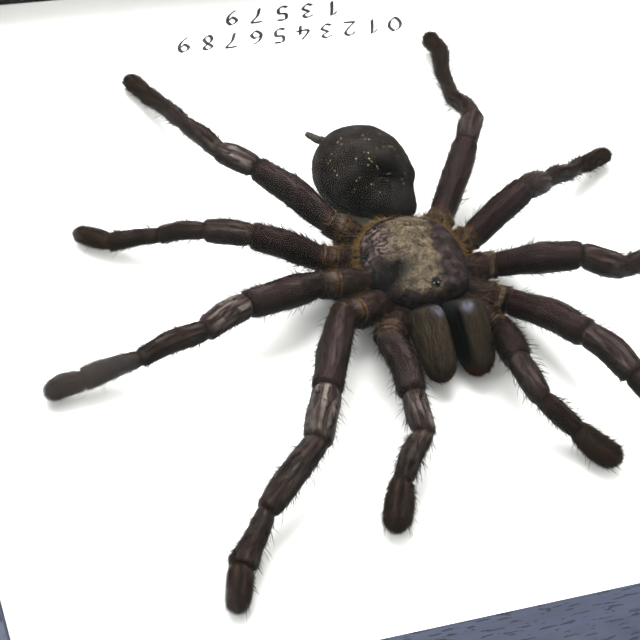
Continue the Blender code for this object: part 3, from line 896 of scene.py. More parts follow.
def carapace_relief(point, scale):
    """How far the carapace rises at a point, and its masks."""
    spot = point.to_2d()
    away = spot - FOVEA
    heading = abs(math.degrees(math.atan2(away.x, -away.y)))
    reach = away.length
    rise = 0.0
    fade = ease(reach / (2.0 * MM)) * ease((0.93 - scale) / 0.12)
    for direction, depth in GROOVES:
        wander = 5 * rough((spot.x, spot.y, direction * MM), 3 * MM)
        gap = abs(heading + wander - direction) * math.pi / 180 * reach
        rise -= depth * hump(gap, 0.6 * MM) * fade
    flank = ease((heading - 30) / 14) * ease((100 - heading) / 30)
    rise -= 1.1 * flank * ease((reach - 4 * MM) / (6 * MM))
    slit = away.y - 0.1 * away.x * away.x / MM
    rise -= 0.75 * hump(away.x, 1.3 * MM) * hump(slit, 0.32 * MM)
    rear = ease(0.5 + spot.y / (9 * MM))
    rise -= 0.30 * hump(scale - 0.87, 0.03) * (scale < 1) * rear
    rise += 0.12 * hump(scale - 0.97, 0.03) * rear
    for x, y, depth, wide in HOLLOWS:
        rise -= depth * hump(from_spot(spot, x, y), wide * MM)
    eye = spot - EYE_PLACE
    tubercle = hump(eye.length, 1.3 * MM)
    rise += 0.8 * tubercle
    flat = (spot.x, spot.y, 0)
    rise += (0.3 * rough(flat, 1.5 * MM, 2) + 0.12 * rough(flat, 0.6 * MM, 4)
             + 0.35 * rough(flat, 3.2 * MM, 7))
    worn = 0.0
    for x, y, wide, strength in WORN_PATCHES:
        ragged = 1 + 0.8 * rough(flat, 0.8 * MM, x)
        near = from_spot(spot, x, y) / (wide * MM * ragged)
        worn = max(worn, strength * ease(1.7 - near))
    edge = scale + 0.06 * rough(flat, 2.2 * MM, 11) + 0.03 * rough(flat, 0.8 * MM, 3)
    strip = (abs(spot.x + 0.8 * MM - 0.2 * spot.y) + 1.6 * MM * rough(flat, 2.4 * MM, 17)
             + 0.5 * MM * rough(flat, 0.9 * MM, 19))
    side = ease(0.35 + spot.y / (9 * MM) + abs(spot.x) / (26 * MM))
    rimmed = ease((edge - 0.80 - 0.08 * ease(-spot.y / (9 * MM))) / 0.06)
    masks = {
        "band": max(rimmed, ease((strip - 3.0 * MM) / (2.2 * MM))) * ease((1.06 - scale) / 0.05),
        # worn marks pale worn patches that the finish also paints as highlights.
        "worn": worn,
        # Painted shade on the sunken front-left slope, with darker patches at the left edge and
        # along the front rim.
        "shade_and_stain": max(1.3 * hump(from_spot(spot, -6.8, -6.8), 3.0 * MM),
                     0.8 * hump(from_spot(spot, -9.4, -0.5), 1.2 * MM),
                     0.5 * ease((scale - 0.92) / 0.06) * (1 - side)),
        "eyes": tubercle,
        "under": ease((scale - 1.02) / 0.04),
        "down": ease((0.84 - scale) / 0.08) * (0.45 + 0.9 * hump(away.length, 4 * MM))
        * (1 - tubercle),
        "margin": hump(scale - 0.99, 0.03)
        * ease(0.3 + spot.y / (10 * MM) + abs(spot.x) / (30 * MM)),
        "lash": max(0.0, hump(eye.length, 2.2 * MM) - 0.9 * tubercle),
    }
    return rise * MM, masks


def carapace_skin(sides, material):
    """The carapace's dome with its grooves and eye mound, and the sternum below."""
    low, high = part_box("carapace")
    bm = bmesh.new()
    bmesh.ops.create_uvsphere(bm, u_segments=sides, v_segments=sides * 3 // 4, radius=1.0)
    masks = {name: bm.verts.layers.float.new(name) for name in CARAPACE_MASKS}
    comb = bm.verts.layers.float_vector.new("comb")
    for vert in bm.verts:
        above = vert.co.z
        point, scale = carapace_point(vert.co, low, high)
        rise, found = carapace_relief(point, scale)
        point.z += rise * ease(above * 5 + 0.2)
        away = point.to_2d() - FOVEA
        vert[comb] = Vector((away.x, away.y, -0.25 * away.length)).normalized()
        for name, layer in masks.items():
            vert[layer] = found[name]
        vert.co = point
    return piece("carapace_skin", bm, material, "worn_carapace", "carapace")


def carapace_finish(look):
    """Mottled olive in the middle, bare plum shell at the sides, worn pale patches that double as
    painted highlights, painted shade on the front-left slope and a dark underside that is partly
    painted shade.
    """
    finish = Finish("carapace_shell", IOR=1.32)
    place = finish.place()
    mottle = finish.noise(place, 1.6 * MM, 5.0, 0.65, 0.4)
    fine = finish.noise(place, 0.32 * MM, 4.0, 0.65)
    curls = finish.noise(place, 1.7 * MM, 3.0, 0.5, 2.6)
    specks = finish.cells(place, 0.42 * MM)
    band = finish.mask("band")
    worn = finish.mask("worn")
    shell = finish.layered(
        look.band,
        (mottle.above(0.36, 0.6), colour(34, 22, 27)),
        (fine.above(0.55, 0.75) * 0.3, colour(112, 98, 100)))
    # Painted highlight as well as wear: the worn patches' curls are painted a pale colour.
    worn_and_highlight = (worn * curls.above(0.40, 0.58) * (0.3 + fine * 1.2)).clamped()
    # The underside is dark partly as its own colour and partly as painted shade under the carapace
    # and between the coxae.
    underside = finish.mix(mottle, colour(26, 17, 14), colour(48, 33, 26))
    base = finish.layered(
        colour(66, 56, 44),
        (mottle.above(0.26, 0.66), look.olive),
        (fine.above(0.46, 0.7) * 0.35, colour(216, 200, 170)),
        (curls.above(0.52, 0.38) * 0.55, colour(50, 42, 38)),
        (band, shell),
        (worn * curls.above(0.44, 0.36) * 0.6, colour(34, 24, 26)),
        (worn_and_highlight * 0.7, colour(206, 184, 170)),
        # Painted shade on the front-left slope, plus darker patches at the left edge and along the
        # front rim.
        (finish.mask("shade_and_stain") * (0.7 + mottle), colour(14, 9, 8)),
        (finish.mask("eyes").above(0.40, 0.72), colour(20, 17, 17)),
        (specks.above(0.12, 0.05) * 0.5, colour(150, 138, 104)),
        (finish.mask("under"), underside))
    finish.relief((mottle, 0.5 * MM), (curls, 0.7 * MM), (fine, 0.12 * MM))
    return finish.done(base, 0.24 - band * 0.1 + mottle * 0.2, look.shell_depth)


def eyes(skin):
    """Eight glossy eyes in two rows on their mound."""
    bm = bmesh.new()
    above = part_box("carapace")[1].z + 5 * MM
    for x, y, radius in EYES:
        start = Vector((EYE_PLACE.x + x * MM, EYE_PLACE.y + y * MM, above))
        hit, place, normal, _ = skin.ray_cast(start, Vector((0, 0, -1)))
        if not hit:
            raise RuntimeError("an eye missed the carapace")
        made = bmesh.ops.create_uvsphere(bm, u_segments=14, v_segments=10,
                                         radius=radius * MM)["verts"]
        bmesh.ops.translate(bm, verts=made, vec=place - normal * radius * 0.2 * MM)
    finish = Finish("eye_lens", IOR=1.5, Coat_Weight=0.6, Coat_Roughness=0.04)
    cloud = finish.noise(finish.place(), 0.3 * MM, 2.0)
    tone = finish.mix(cloud.above(0.35, 0.65), colour(16, 14, 15), colour(70, 66, 66))
    return piece("eyes", bm, finish.done(tone, 0.12 + cloud * 0.1), "worn_carapace")


def solid_axis(name):
    """Middle of an egg-shaped solid and the vector from it to its lower far end."""
    low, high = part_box(name)
    middle = (low + high) / 2
    points = [vert.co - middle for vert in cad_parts[name].data.vertices]
    far = max(points, key=lambda point: point.length)
    return middle, far if far.z < 0 else -far


def jaw_skin(side, sides, material):
    """A chelicera: a long bulb, flat towards its twin, with shallow lengthwise bands."""
    name = f"chelicera_{side}"
    middle, ahead = solid_axis(name)
    low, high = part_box(name)
    across = (high.x - low.x) / 2
    outward = 1 if side == "left" else -1
    own = ahead.normalized()
    aside = Vector((0, 0, 1)).cross(own).normalized()
    above = own.cross(aside)
    if above.z < 0:
        above = -above
    if aside.x * outward < 0:
        aside = -aside
    other, other_ahead = solid_axis(f"chelicera_{'left' if side == 'right' else 'right'}")
    bm = ball(sides)
    masks = {key: bm.verts.layers.float.new(key) for key in JAW_MASKS}
    straight = bm.verts.layers.float_vector.new("straight")
    comb = bm.verts.layers.float_vector.new("comb")
    for vert in bm.verts:
        x, y, z = vert.co.x, -vert.co.y, vert.co.z
        girth = math.sqrt(max(0.0, 1 - y * y))
        blunt = 3.6 if y > 0 else 7
        full = max(0.0, 1 - abs(y) ** blunt) ** 0.5
        share = full / girth if girth > 1e-4 else 1.0
        x *= share
        z *= share
        angle = math.atan2(x, z)
        inner = max(0.0, -x)
        x = x + 0.2 * inner * inner
        bands = 0.03 * math.cos(angle * 7) * girth * (z > 0)
        bumpy = 0.03 * rough((x * 2, y * 0.6, z * 2), 0.6, 3 * outward)
        swell = 1 + bands + bumpy + 0.03 * y
        arch = 0.14 * (1 - y * y) - 0.12 * max(0.0, -y)
        stretch = 1.0 if y > 0 else JAW_ROOT
        # The lower outer side swells into a skirt that the inner mask paints near black, standing
        # for the shade beside the jaw.
        lower = ease(0.3 - z * 1.4)
        skirt = 1 + 0.35 * lower * ease(0.6 - y) * (x > 0)
        point = (middle + aside * x * across * swell * skirt + own * ahead.length * y * stretch
                 + above * (z * swell + arch) * across * 1.08)
        shared = (middle + other + (ahead + other_ahead) * y * stretch) / 2
        joined = lower * ease(inner * 2) * ease((0.7 - y) / 0.3)
        point.x += (shared.x - point.x) * joined
        vert.co = point
        vert[straight] = Vector((x * across, z * across, y * ahead.length))
        vert[comb] = own
        tip = ease((y - 0.55) / 0.35)
        vert[masks["stripe"]] = ease(math.cos(angle * 7) * 2) * (z > 0) * (1 - tip)
        # Painted highlight: shine marks a bluish-white patch near the root, where the finish also
        # lowers the roughness.
        vert[masks["shine"]] = hump(y + 0.74 + 0.12 * bumpy / 0.03, 0.12) * hump(x + 0.22, 0.34)
        vert[masks["fringe"]] = tip * (0.3 + max(0.0, y)) * (1.6 - z)
        upper = (0.3 + 0.7 * max(0.0, z)) * ease((y + 0.7) / 0.3)
        vert[masks["down"]] = (1 - 0.5 * tip) * upper * ease(1.6 - inner * 2.2)
        # Painted shade: inner marks the side facing the other jaw, the underside and the root end,
        # which the finish paints near black.
        vert[masks["inner"]] = max(ease(-x * 3.4 - 1.5), ease(-z * 2.4), ease((-0.9 - y) / 0.08))
    return piece(f"{name}_skin", bm, material, "dark_cuticle", name)


def jaw_finish(look):
    """Brown cuticle streaked lengthwise, painted black as shade on the side facing its twin,
    underneath and at the root end, with a painted highlight and more gloss at the root.
    """
    finish = Finish("jaw_cuticle", IOR=1.22)
    flow = finish.flow("straight")
    streaks = finish.noise(finish.stretched(flow, (1, 1, 0.1)), 0.3 * MM, 4.0, 0.62)
    mottle = finish.noise(finish.stretched(flow, (1, 1, 0.4)), 1.3 * MM, 4.0, 0.6)
    shine = finish.mask("shine")
    base = finish.layered(
        colour(40, 30, 24),
        (mottle.above(0.3, 0.7), colour(78, 64, 48)),
        (streaks.above(0.5, 0.68) * 0.7, colour(132, 114, 88)),
        (finish.mask("stripe") * 0.45 * streaks.above(0.35, 0.6), colour(96, 84, 68)),
        (streaks.above(0.46, 0.3) * 0.6, colour(26, 20, 18)),
        (finish.mask("fringe") * 0.8, colour(26, 14, 13)),
        # Painted shade: near black on the inner side, underneath and at the root end.
        (finish.mask("inner"), colour(6, 4, 4)),
        # Painted highlight: a bluish-white patch at the root.
        (shine * mottle.above(0.2, 0.5) * 0.62, colour(170, 172, 196)))
    finish.relief((mottle, 0.2 * MM), (streaks, 0.22 * MM))
    return finish.done(base, 0.5 - shine * 0.28 + mottle * 0.1, look.shell_depth)


def abdomen_skin(sides, material):
    """The abdomen, shrunken in front and wrinkled where it dried."""
    low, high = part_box("abdomen")
    middle = (low + high) / 2
    half = (high - low) / 2
    bm = ball(sides)
    masks = {name: bm.verts.layers.float.new(name) for name in ("sunken", "down", "dust")}
    comb = bm.verts.layers.float_vector.new("comb")
    for vert in bm.verts:
        ball_point = vert.co.copy()
        rise = 0.0
        sunken = 0.0
        for *heading, wide, depth in DENTS:
            near = hump((ball_point - Vector(heading).normalized()).length, wide)
            rise -= depth * near
            sunken = max(sunken, near * min(1.0, depth))
        for *heading, wide, height in LUMPS:
            near = hump((ball_point - Vector(heading).normalized()).length, wide)
            rise += height * near
            sunken *= 1 - 0.7 * near
        front = ease(-ball_point.y * 1.5 - 0.2)
        rise += 0.22 * rough(ball_point * 1.0, 0.42, 1) + 0.07 * rough(ball_point, 0.16, 5)
        squeezed = (ball_point.x, ball_point.y * 2.4, ball_point.z)
        rise -= 0.2 * front * (1 - creased(squeezed, 0.3, 3))
        rise -= 0.5 * front ** 2
        full = ball_point * (1 + rise * MM / half.y)
        vert.co = middle + Vector((full.x * half.x, full.y * half.y, full.z * half.z))
        shrunk = 0.45 * front * max(0.0, 0.6 + ball_point.x * 0.4)
        vert[masks["sunken"]] = min(1.0, sunken * 1.1 + shrunk)
        vert[masks["down"]] = 0.25 + 0.75 * (1 - front)
        vert[masks["dust"]] = max(0.0, ball_point.z)
        vert[comb] = Vector((0.15 * ball_point.x, 1, -0.25))
    return piece("abdomen_skin", bm, material, "dark_cuticle", "abdomen")


def abdomen_finish(look):
    """Matte velvet, glossy and dark where it has sunk, with grains of dust on top."""
    finish = Finish("abdomen_velvet", IOR=1.2)
    place = finish.place()
    cloud = finish.noise(place, 3.4 * MM, 5.0, 0.6)
    nap = finish.noise(finish.stretched(place, (1, 0.4, 1)), 0.32 * MM, 4.0, 0.65)
    grains = finish.cells(place, 1.0 * MM)
    ticks = finish.noise(place, 1.7 * MM, 2.0)
    dust = finish.mask("dust")
    sunken = finish.mask("sunken")
    shrunk = (sunken * 1.25 * (0.5 + cloud)).clamped()
    base = finish.layered(
        colour(46, 38, 36),
        (cloud.above(0.36, 0.66), shade(look.velvet, 2.2)),
        (nap.above(0.48, 0.7) * dust.above(0.3, 0.9) * 0.6, colour(104, 96, 92)),
        (shrunk, look.sunken),
        (sunken * ticks.above(0.55, 0.7) * 0.4, colour(70, 46, 38)),
        (grains.above(0.2, 0.12) * ticks.above(0.42, 0.55) * dust.above(0.1, 0.5),
         colour(250, 226, 166)))
    finish.relief((cloud, 0.3 * MM), (nap, 0.12 * MM))
    return finish.done(base, 0.62 - shrunk * 0.34, look.velvet_depth)


def pointed(name, node, solid_sides, material, ribs=0.0):
    """A fang or spinneret: a smooth tapering skin over its solid's rings."""
    rings, tip = rings_of(node, solid_sides)
    line = rings + [(tip, 0.0)]
    tube = Tube(18, ())
    for number in range(len(line) - 1):
        (start, near), (end, far) = line[number], line[number + 1]
        last = number == len(line) - 2
        parts = 8
        for part in range(parts):
            share = part / parts
            radius = near + (far - near) * share
            if last:
                radius = near * math.sqrt(1 - share * share)
            radius *= 1 - ribs * hump(share - 0.1, 0.12)
            before = line[max(0, number - 1)][0]
            ahead = (end - start) + (start - before) * 0.5 * (1 - share)
            tube.ring(start.lerp(end, share), ahead, radius,
                      lambda angle, flat: (1 + 0.05 * rough(flat, 0.5 * MM, 2), {}))
    return piece(name, tube.close(tip), material, "dark_cuticle", node)


def waist_skin(material):
    """The narrow waist between carapace and abdomen."""
    low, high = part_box("pedicel")
    middle = (low + high) / 2
    tube = Tube(24, ())
    parts = 14
    for part in range(parts + 1):
        share = part / parts
        place = Vector((middle.x, low.y + (high.y - low.y) * share, middle.z))
        radius = (high.z - low.z) / 2 * (0.86 + 0.1 * math.cos(share * math.tau * 3))
        tube.ring(place, Vector((0, 1, 0)), radius,
                  lambda angle, flat: (1 + 0.06 * rough(flat, 0.6 * MM, 4), {}))
    return piece("pedicel_skin", tube.close(Vector((middle.x, high.y, middle.z))), material,
                 "dark_cuticle", "pedicel")


def plain_cuticle(name, dark, light, roughness):
    """Cuticle of two cloudy tones."""
    finish = Finish(name, IOR=1.5)
    cloud = finish.noise(finish.place(), 0.7 * MM, 4.0, 0.6)
    fine = finish.noise(finish.place(), 0.18 * MM, 3.0, 0.6)
    finish.relief((cloud, 0.08 * MM), (fine, 0.03 * MM))
    return finish.done(finish.mix(cloud.above(0.35, 0.65), dark, light), roughness + fine * 0.15)


class SPECIMEN_OT_carapace(bpy.types.Operator):
    """Model the carapace with its eyes, its down and its golden fringe"""
    bl_idname = "specimen.carapace"
    bl_label = "Carapace"

    def execute(self, context):
        look = context.scene.spider_look
        skin = carapace_skin(context.scene.skin_size.body_sides, carapace_finish(look))
        eyes(skin)
        gold = hair_finish("fringe_hair", look.gold, 0.35, look)
        straw = hair_finish("down_hair", colour(140, 118, 76), 0.6, look)
        fringe = [hairs(skin, MARGIN, 11), hairs(skin, LASH, 12)]
        coat("carapace_fringe", fringe, gold, "worn_carapace")
        coat("carapace_down", [hairs(skin, CARAPACE_DOWN, 13)], straw, "worn_carapace")
        return {"FINISHED"}


class SPECIMEN_OT_jaws(bpy.types.Operator):
    """Model the two chelicerae and their fangs"""
    bl_idname = "specimen.jaws"
    bl_label = "Jaws"

    def execute(self, context):
        look = context.scene.spider_look
        sides = context.scene.skin_size.body_sides // 2
        cuticle = jaw_finish(look)
        horn = plain_cuticle("fang_horn", colour(16, 10, 10), colour(48, 20, 16), 0.18)
        fringe, down = [], []
        for number, side in enumerate(("right", "left")):
            skin = jaw_skin(side, sides, cuticle)
            pointed(f"fang_{side}_horn", f"fang_{side}", JAW_SOLID_SIDES, horn)
            fringe.append(hairs(skin, JAW_FRINGE, 21 + number))
            down.append(hairs(skin, JAW_DOWN, 31 + number))
        coat("jaw_fringe", fringe, hair_finish("rusty_hair", look.rust, 0.5, look))
        coat("jaw_down", down, hair_finish("jaw_hair", colour(122, 108, 92), 0.7, look))
        return {"FINISHED"}


class SPECIMEN_OT_abdomen(bpy.types.Operator):
    """Model the abdomen, its down, the waist and the spinnerets"""
    bl_idname = "specimen.abdomen"
    bl_label = "Abdomen"

    def execute(self, context):
        look = context.scene.spider_look
        skin = abdomen_skin(context.scene.skin_size.body_sides, abdomen_finish(look))
        brown = hair_finish("abdomen_hair", colour(92, 78, 70), 0.6, look)
        coat("abdomen_down", [hairs(skin, ABDOMEN_DOWN, 41)], brown)
        waist_skin(plain_cuticle("waist_cuticle", colour(88, 58, 44), colour(150, 104, 84), 0.45))
        tail = plain_cuticle("spinneret_cuticle", colour(32, 27, 23), colour(60, 52, 42), 0.55)
        for side in ("right", "left"):
            pointed(f"spinneret_{side}_skin", f"spinneret_{side}", JAW_SOLID_SIDES, tail, 0.18)
        return {"FINISHED"}


# Frame, card and numbers


def wood_finish(along, look):
    """Dark stained wood with open pores that run along X or Y."""
    finish = Finish(f"rail_wood_{along.lower()}", IOR=1.5)
    run, long_run = ((share, 1, 1) if along == "X" else (1, share, 1) for share in (0.12, 0.03))
    place = finish.place()
    sway = finish.noise(place, 22 * MM, 2.0) * 4 * MM
    bent = finish.node("ShaderNodeVectorMath", {"operation": "ADD"},
                       {0: place, 1: finish.node("ShaderNodeCombineXYZ", {}, {0: sway, 1: sway})})
    pits = finish.noise(finish.stretched(bent, run), 0.4 * MM, 2.0, 0.5).above(0.60, 0.67)
    grain = finish.noise(finish.stretched(bent, long_run), 0.9 * MM, 5.0, 0.6)
    tone = finish.noise(place, 9 * MM, 3.0, 0.6)
    base = finish.layered(
        shade(look.wood, 0.72),
        (grain.above(0.32, 0.7), look.wood),
        (tone.above(0.4, 0.75) * 0.35, look.edge),
        (pits * 0.4, look.pore))
    finish.relief((pits, -0.12 * MM), (grain, 0.05 * MM))
    return finish.done(base, 0.42 + grain * 0.2 + pits * 0.2)


def paper_finish(look):
    """Black paper of the spacers."""
    finish = Finish("spacer_paper")
    fibres = finish.noise(finish.place(), 0.5 * MM, 4.0, 0.6)
    finish.relief((fibres, 0.06 * MM))
    base = finish.mix(fibres.above(0.35, 0.7), shade(look.felt, 0.6), look.felt)
    return finish.done(base, 0.75 + fibres * 0.15)


def board_finish(look):
    """Brown pressed board with dark flecks."""
    finish = Finish("fibre_board")
    place = finish.place()
    fibres = finish.noise(finish.stretched(place, (0.3, 1, 1)), 0.8 * MM, 5.0, 0.65, 1.0)
    blotches = finish.noise(place, 14 * MM, 4.0, 0.6)
    flecks = finish.cells(place, 2.2 * MM)
    base = finish.layered(
        shade(look.board, 0.55),
        (fibres.above(0.3, 0.7), look.board),
        (blotches.above(0.4, 0.7) * 0.3, shade(look.board, 1.35)),
        (flecks.above(0.12, 0.04) * 0.6, colour(52, 34, 22)))
    finish.relief((fibres, 0.15 * MM))
    return finish.done(base, 0.72 + fibres * 0.15)


def steel_finish(look):
    """Plated steel with spangles and fine scratches."""
    finish = Finish("plated_steel", Metallic=1.0)
    place = finish.place()
    spangle = finish.cells(place, 2.6 * MM)
    scratches = finish.noise(finish.stretched(place, (1, 0.06, 1)), 0.25 * MM, 2.0)
    base = finish.layered(
        look.steel,
        (spangle.above(0.2, 0.7), shade(look.steel, 0.7)),
        (scratches.above(0.62, 0.7) * 0.5, shade(look.steel, 0.45)))
    finish.relief((scratches, 0.02 * MM))
    return finish.done(base, 0.3 + spangle * 0.15)


class SPECIMEN_OT_frame(bpy.types.Operator):
    """Finish the rails, spacers, glass, backing board and fittings"""
    bl_idname = "specimen.frame"
    bl_label = "Frame"

    def execute(self, context):
        look = context.scene.frame_look
        for along, sides in (("X", ("near", "far")), ("Y", ("left", "right"))):
            repaint(wood_finish(along, look), *[f"rail_{side}" for side in sides])
        repaint(paper_finish(look),
                *[f"spacer_{side}" for side in ("near", "far", "left", "right")])
        pane = Finish("clear_pane", Base_Color=look.pane, Roughness=0.03, IOR=1.5,
                      Alpha=look.pane_alpha)
        repaint(pane.material, "glass")
        repaint(board_finish(look), "backing_board")
        fittings = ("tab_", "rivet_", "hanger")
        repaint(steel_finish(look),
                *[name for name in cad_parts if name.startswith(fittings)])
        return {"FINISHED"}


# Numerals as pen strokes in a box one unit high, each a row of points on a smooth curve
NUMERALS = {
    "0": (((0.32, 1.0), (0.05, 0.75), (0.0, 0.35), (0.2, 0.0), (0.48, 0.22), (0.55, 0.65),
           (0.32, 1.0)),),
    "1": (((0.08, 0.78), (0.3, 1.0), (0.27, 0.5), (0.25, 0.0)),),
    "2": (((0.04, 0.78), (0.25, 1.0), (0.48, 0.78), (0.3, 0.4), (0.0, 0.02)),
          ((0.0, 0.03), (0.5, 0.0))),
    "3": (((0.05, 0.88), (0.3, 1.0), (0.46, 0.78), (0.2, 0.56), (0.48, 0.3), (0.25, 0.0),
           (0.0, 0.1)),),
    "4": (((0.38, 1.0), (0.0, 0.32), (0.58, 0.34)), ((0.42, 0.62), (0.38, -0.05))),
    "5": (((0.5, 1.0), (0.14, 0.98), (0.1, 0.58), (0.42, 0.5), (0.44, 0.15), (0.2, 0.0),
           (0.0, 0.08)),),
    "6": (((0.46, 0.98), (0.12, 0.7), (0.02, 0.25), (0.25, 0.0), (0.48, 0.25), (0.28, 0.52),
           (0.06, 0.34)),),
    "7": (((0.04, 0.98), (0.54, 0.98), (0.26, 0.5), (0.16, 0.0)),),
    "8": (((0.3, 0.54), (0.08, 0.78), (0.28, 1.0), (0.46, 0.8), (0.1, 0.34), (0.18, 0.0),
           (0.46, 0.2), (0.3, 0.54)),),
    "9": (((0.46, 0.7), (0.24, 0.46), (0.04, 0.72), (0.28, 1.0), (0.48, 0.72), (0.4, 0.3),
           (0.14, 0.0)),),
}
NIB_ANGLE = math.radians(38)
HAIRLINE = 0.32
SLANT = 0.28
NUMERAL_WIDTH = 0.62
WIDEST_NUMERAL = 0.55
STROKE_PARTS = 7
INK_HEIGHT = 0.05 * MM


def smooth_line(points):
    """Points of a smooth curve through a few given ones."""
    padded = [points[0], *points, points[-1]]
    line = []
    for around in zip(padded, padded[1:], padded[2:], padded[3:]):
        for part in range(STROKE_PARTS):
            t = part / STROKE_PARTS
            line.append(tuple(
                0.5 * (2 * b + (c - a) * t + (2 * a - 5 * b + 4 * c - d) * t * t
                       + (3 * b - 3 * c + d - a) * t ** 3)
                for a, b, c, d in zip(*around)))
    line.append(tuple(points[-1]))
    return line


def pen_stroke(bm, line, nib, place):
    """A stroke as a broad nib leaves it: the line swept along the nib's fixed edge."""
    verts = [bm.verts.new(place(x, y)) for x, y in line]
    edges = [bm.edges.new(pair) for pair in zip(verts, verts[1:])]
    grown = bmesh.ops.extrude_edge_only(bm, edges=edges)["geom"]
    moved = [item for item in grown if isinstance(item, bmesh.types.BMVert)]
    bmesh.ops.translate(bm, verts=moved, vec=nib)


def card_finish(look):
    """Uncoated white card, very slightly cloudy."""
    finish = Finish("white_card", IOR=1.45)
    place = finish.place()
    fibres = finish.noise(place, 0.7 * MM, 4.0, 0.6)
    clouds = finish.noise(place, 26 * MM, 3.0, 0.5)
    finish.relief((fibres, 0.02 * MM))
    base = finish.mix(clouds.above(0.35, 0.65), shade(look.card, 0.96), look.card)
    return finish.done(base, 0.8 + fibres * 0.1)


def glue_finish(look):
    """Clear glue, dried in swirls."""
    finish = Finish("dried_glue", IOR=1.48)
    swirl = finish.noise(finish.place(), 1.6 * MM, 3.0, 0.5, 0.8)
    finish.relief((swirl, 0.2 * MM))
    base = finish.mix(swirl.above(0.35, 0.65), shade(look.glue, 0.7), look.glue)
    return finish.done(base, 0.2 + swirl * 0.15)


def ink_finish(look):
    """Grey ink, thinner in places."""
    finish = Finish("grey_ink")
    wash = finish.noise(finish.place(), 0.8 * MM, 3.0, 0.6)
    base = finish.mix(wash.above(0.4, 0.7), look.ink, shade(look.ink, 1.9))
    return finish.done(base, 0.6 + wash * 0.1)


def numbers(look):
    """Two lines, read from the far side of the frame, as the head end hangs up."""
    bm = bmesh.new()
    edge = Vector((-math.cos(NIB_ANGLE), -math.sin(NIB_ANGLE), 0)) * look.nib
    hairline = Vector((-edge.y, edge.x, 0)) * HAIRLINE
    height = look.digit_height
    for digits, centre, span in (("0123456789", look.upper_centre, look.upper_width),
                                 ("13579", look.lower_centre, look.lower_width)):
        pitch = span / len(digits)
        for number, digit in enumerate(digits):
            start = span / 2 - pitch * number

            def place(x, y):
                right = x * height * NUMERAL_WIDTH / WIDEST_NUMERAL + SLANT * (y - 0.5) * height
                return (start - right, centre + height / 2 - y * height, CARD_TOP + INK_HEIGHT)

            for stroke in NUMERALS[digit]:
                for width in (edge, hairline):
                    pen_stroke(bm, smooth_line(stroke), width, place)
    bmesh.ops.remove_doubles(bm, verts=bm.verts, dist=WELD)
    for face in bm.faces:
        face.normal_update()
    turned = [face for face in bm.faces if face.normal.z < 0]
    bmesh.ops.reverse_faces(bm, faces=turned)
    mesh = bpy.data.meshes.new("numbers")
    bm.to_mesh(mesh)
    bm.free()
    return placed("numbers", mesh, ink_finish(look), "white_card")


class SPECIMEN_OT_card(bpy.types.Operator):
    """Finish the card, the glue and the two lines of plain numbers"""
    bl_idname = "specimen.card"
    bl_label = "Card"

    def execute(self, context):
        look = context.scene.card_look
        repaint(card_finish(look), "mount_card")
        repaint(glue_finish(look), "glue_pad")
        numbers(look)
        return {"FINISHED"}


# Stage


def facing(place, back, roll=0.0):
    """The turn and place of a camera or lamp that looks from there along minus back."""
    return (Matrix.Translation(place) @ (-back).to_track_quat("-Z", "Y").to_matrix().to_4x4()
            @ Matrix.Rotation(roll, 4, "Z"))


def lamp(scene, name, power, size, place):
    """A soft square lamp that faces the middle of the frame."""
    data = bpy.data.lights.new(name, "AREA")
    data.energy = power
    data.size = size
    made = bpy.data.objects.new(name, data)
    made.matrix_world = facing(place, Vector(place))
    scene.collection.objects.link(made)


def floor(scene, look):
    """A pale floor just under the frame."""
    bm = bmesh.new()
    bmesh.ops.create_grid(bm, x_segments=4, y_segments=4, size=3.0)
    bmesh.ops.translate(bm, verts=bm.verts, vec=(0, 0, CAD_BOX[0].z - 0.1 * MM))
    mesh = bpy.data.meshes.new("floor")
    bm.to_mesh(mesh)
    bm.free()
    finish = Finish("pale_floor")
    cloud = finish.noise(finish.place(), 0.2, 2.0)
    tone = finish.mix(cloud.above(0.3, 0.7), shade(look.floor, 0.97), look.floor)
    mesh.materials.append(finish.done(tone, 0.7 + cloud * 0.1))
    made = bpy.data.objects.new("floor", mesh)
    scene.collection.objects.link(made)


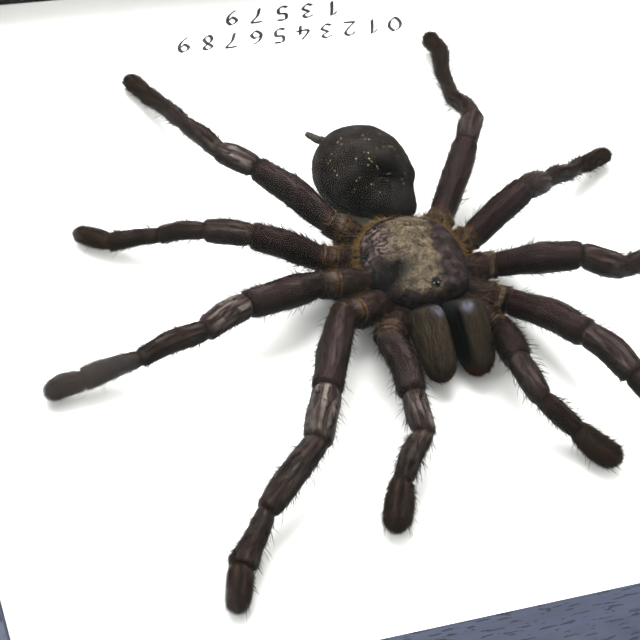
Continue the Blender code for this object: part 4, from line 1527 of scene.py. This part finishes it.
class SPECIMEN_OT_stage(bpy.types.Operator):
    """Set the camera, the soft light and the pale floor"""
    bl_idname = "specimen.stage"
    bl_label = "Stage"

    def execute(self, context):
        scene = context.scene
        look = scene.stage_look
        scene.view_settings.view_transform = "Standard"
        scene.view_settings.gamma = look.gamma
        back = Vector((math.sin(look.azimuth) * math.cos(look.elevation),
                       -math.cos(look.azimuth) * math.cos(look.elevation),
                       math.sin(look.elevation)))
        data = bpy.data.cameras.new("camera")
        data.lens = look.lens
        data.clip_start = 0.01
        camera = bpy.data.objects.new("camera", data)
        camera.matrix_world = facing(Vector(look.aim) + back * look.distance, back, look.roll)
        scene.collection.objects.link(camera)
        scene.camera = camera
        lamp(scene, "key", look.key, 0.6, (-0.1, 0.42, 0.86))
        lamp(scene, "side", look.key * 0.3, 0.4, (-0.8, -0.2, 0.7))
        world = bpy.data.worlds.new("room")
        world.use_nodes = True
        background = world.node_tree.nodes["Background"]
        background.inputs["Color"].default_value = (1.0, 0.99, 0.975, 1.0)
        background.inputs["Strength"].default_value = look.fill
        scene.world = world
        floor(scene, look)
        return {"FINISHED"}


class SPECIMEN_PT_sidebar(bpy.types.Panel):
    """Lists the specimen's operators in the sidebar"""
    bl_idname = "SPECIMEN_PT_sidebar"
    bl_label = "Specimen"
    bl_space_type = "VIEW_3D"
    bl_region_type = "UI"
    bl_category = "Specimen"

    def draw(self, context):
        for operator in OPERATORS:
            self.layout.operator(operator.bl_idname)


LOOKS = {"frame_look": FrameLook, "card_look": CardLook, "spider_look": SpiderLook,
         "skin_size": SkinSize, "stage_look": StageLook}
OPERATORS = (SPECIMEN_OT_stage, SPECIMEN_OT_frame, SPECIMEN_OT_card, SPECIMEN_OT_limbs,
             SPECIMEN_OT_carapace, SPECIMEN_OT_jaws, SPECIMEN_OT_abdomen)


def register():
    for made in (*LOOKS.values(), *OPERATORS, SPECIMEN_PT_sidebar):
        bpy.utils.register_class(made)
    for name, group in LOOKS.items():
        setattr(bpy.types.Scene, name, PointerProperty(type=group))


def unregister():
    for name in LOOKS:
        delattr(bpy.types.Scene, name)
    for made in reversed((*LOOKS.values(), *OPERATORS, SPECIMEN_PT_sidebar)):
        bpy.utils.unregister_class(made)


def main():
    """Makes every piece in order."""
    register()
    bpy.ops.specimen.stage()
    bpy.ops.specimen.frame()
    bpy.ops.specimen.card()
    bpy.ops.specimen.limbs()
    bpy.ops.specimen.carapace()
    bpy.ops.specimen.jaws()
    bpy.ops.specimen.abdomen()


if __name__ == "__main__":
    main()
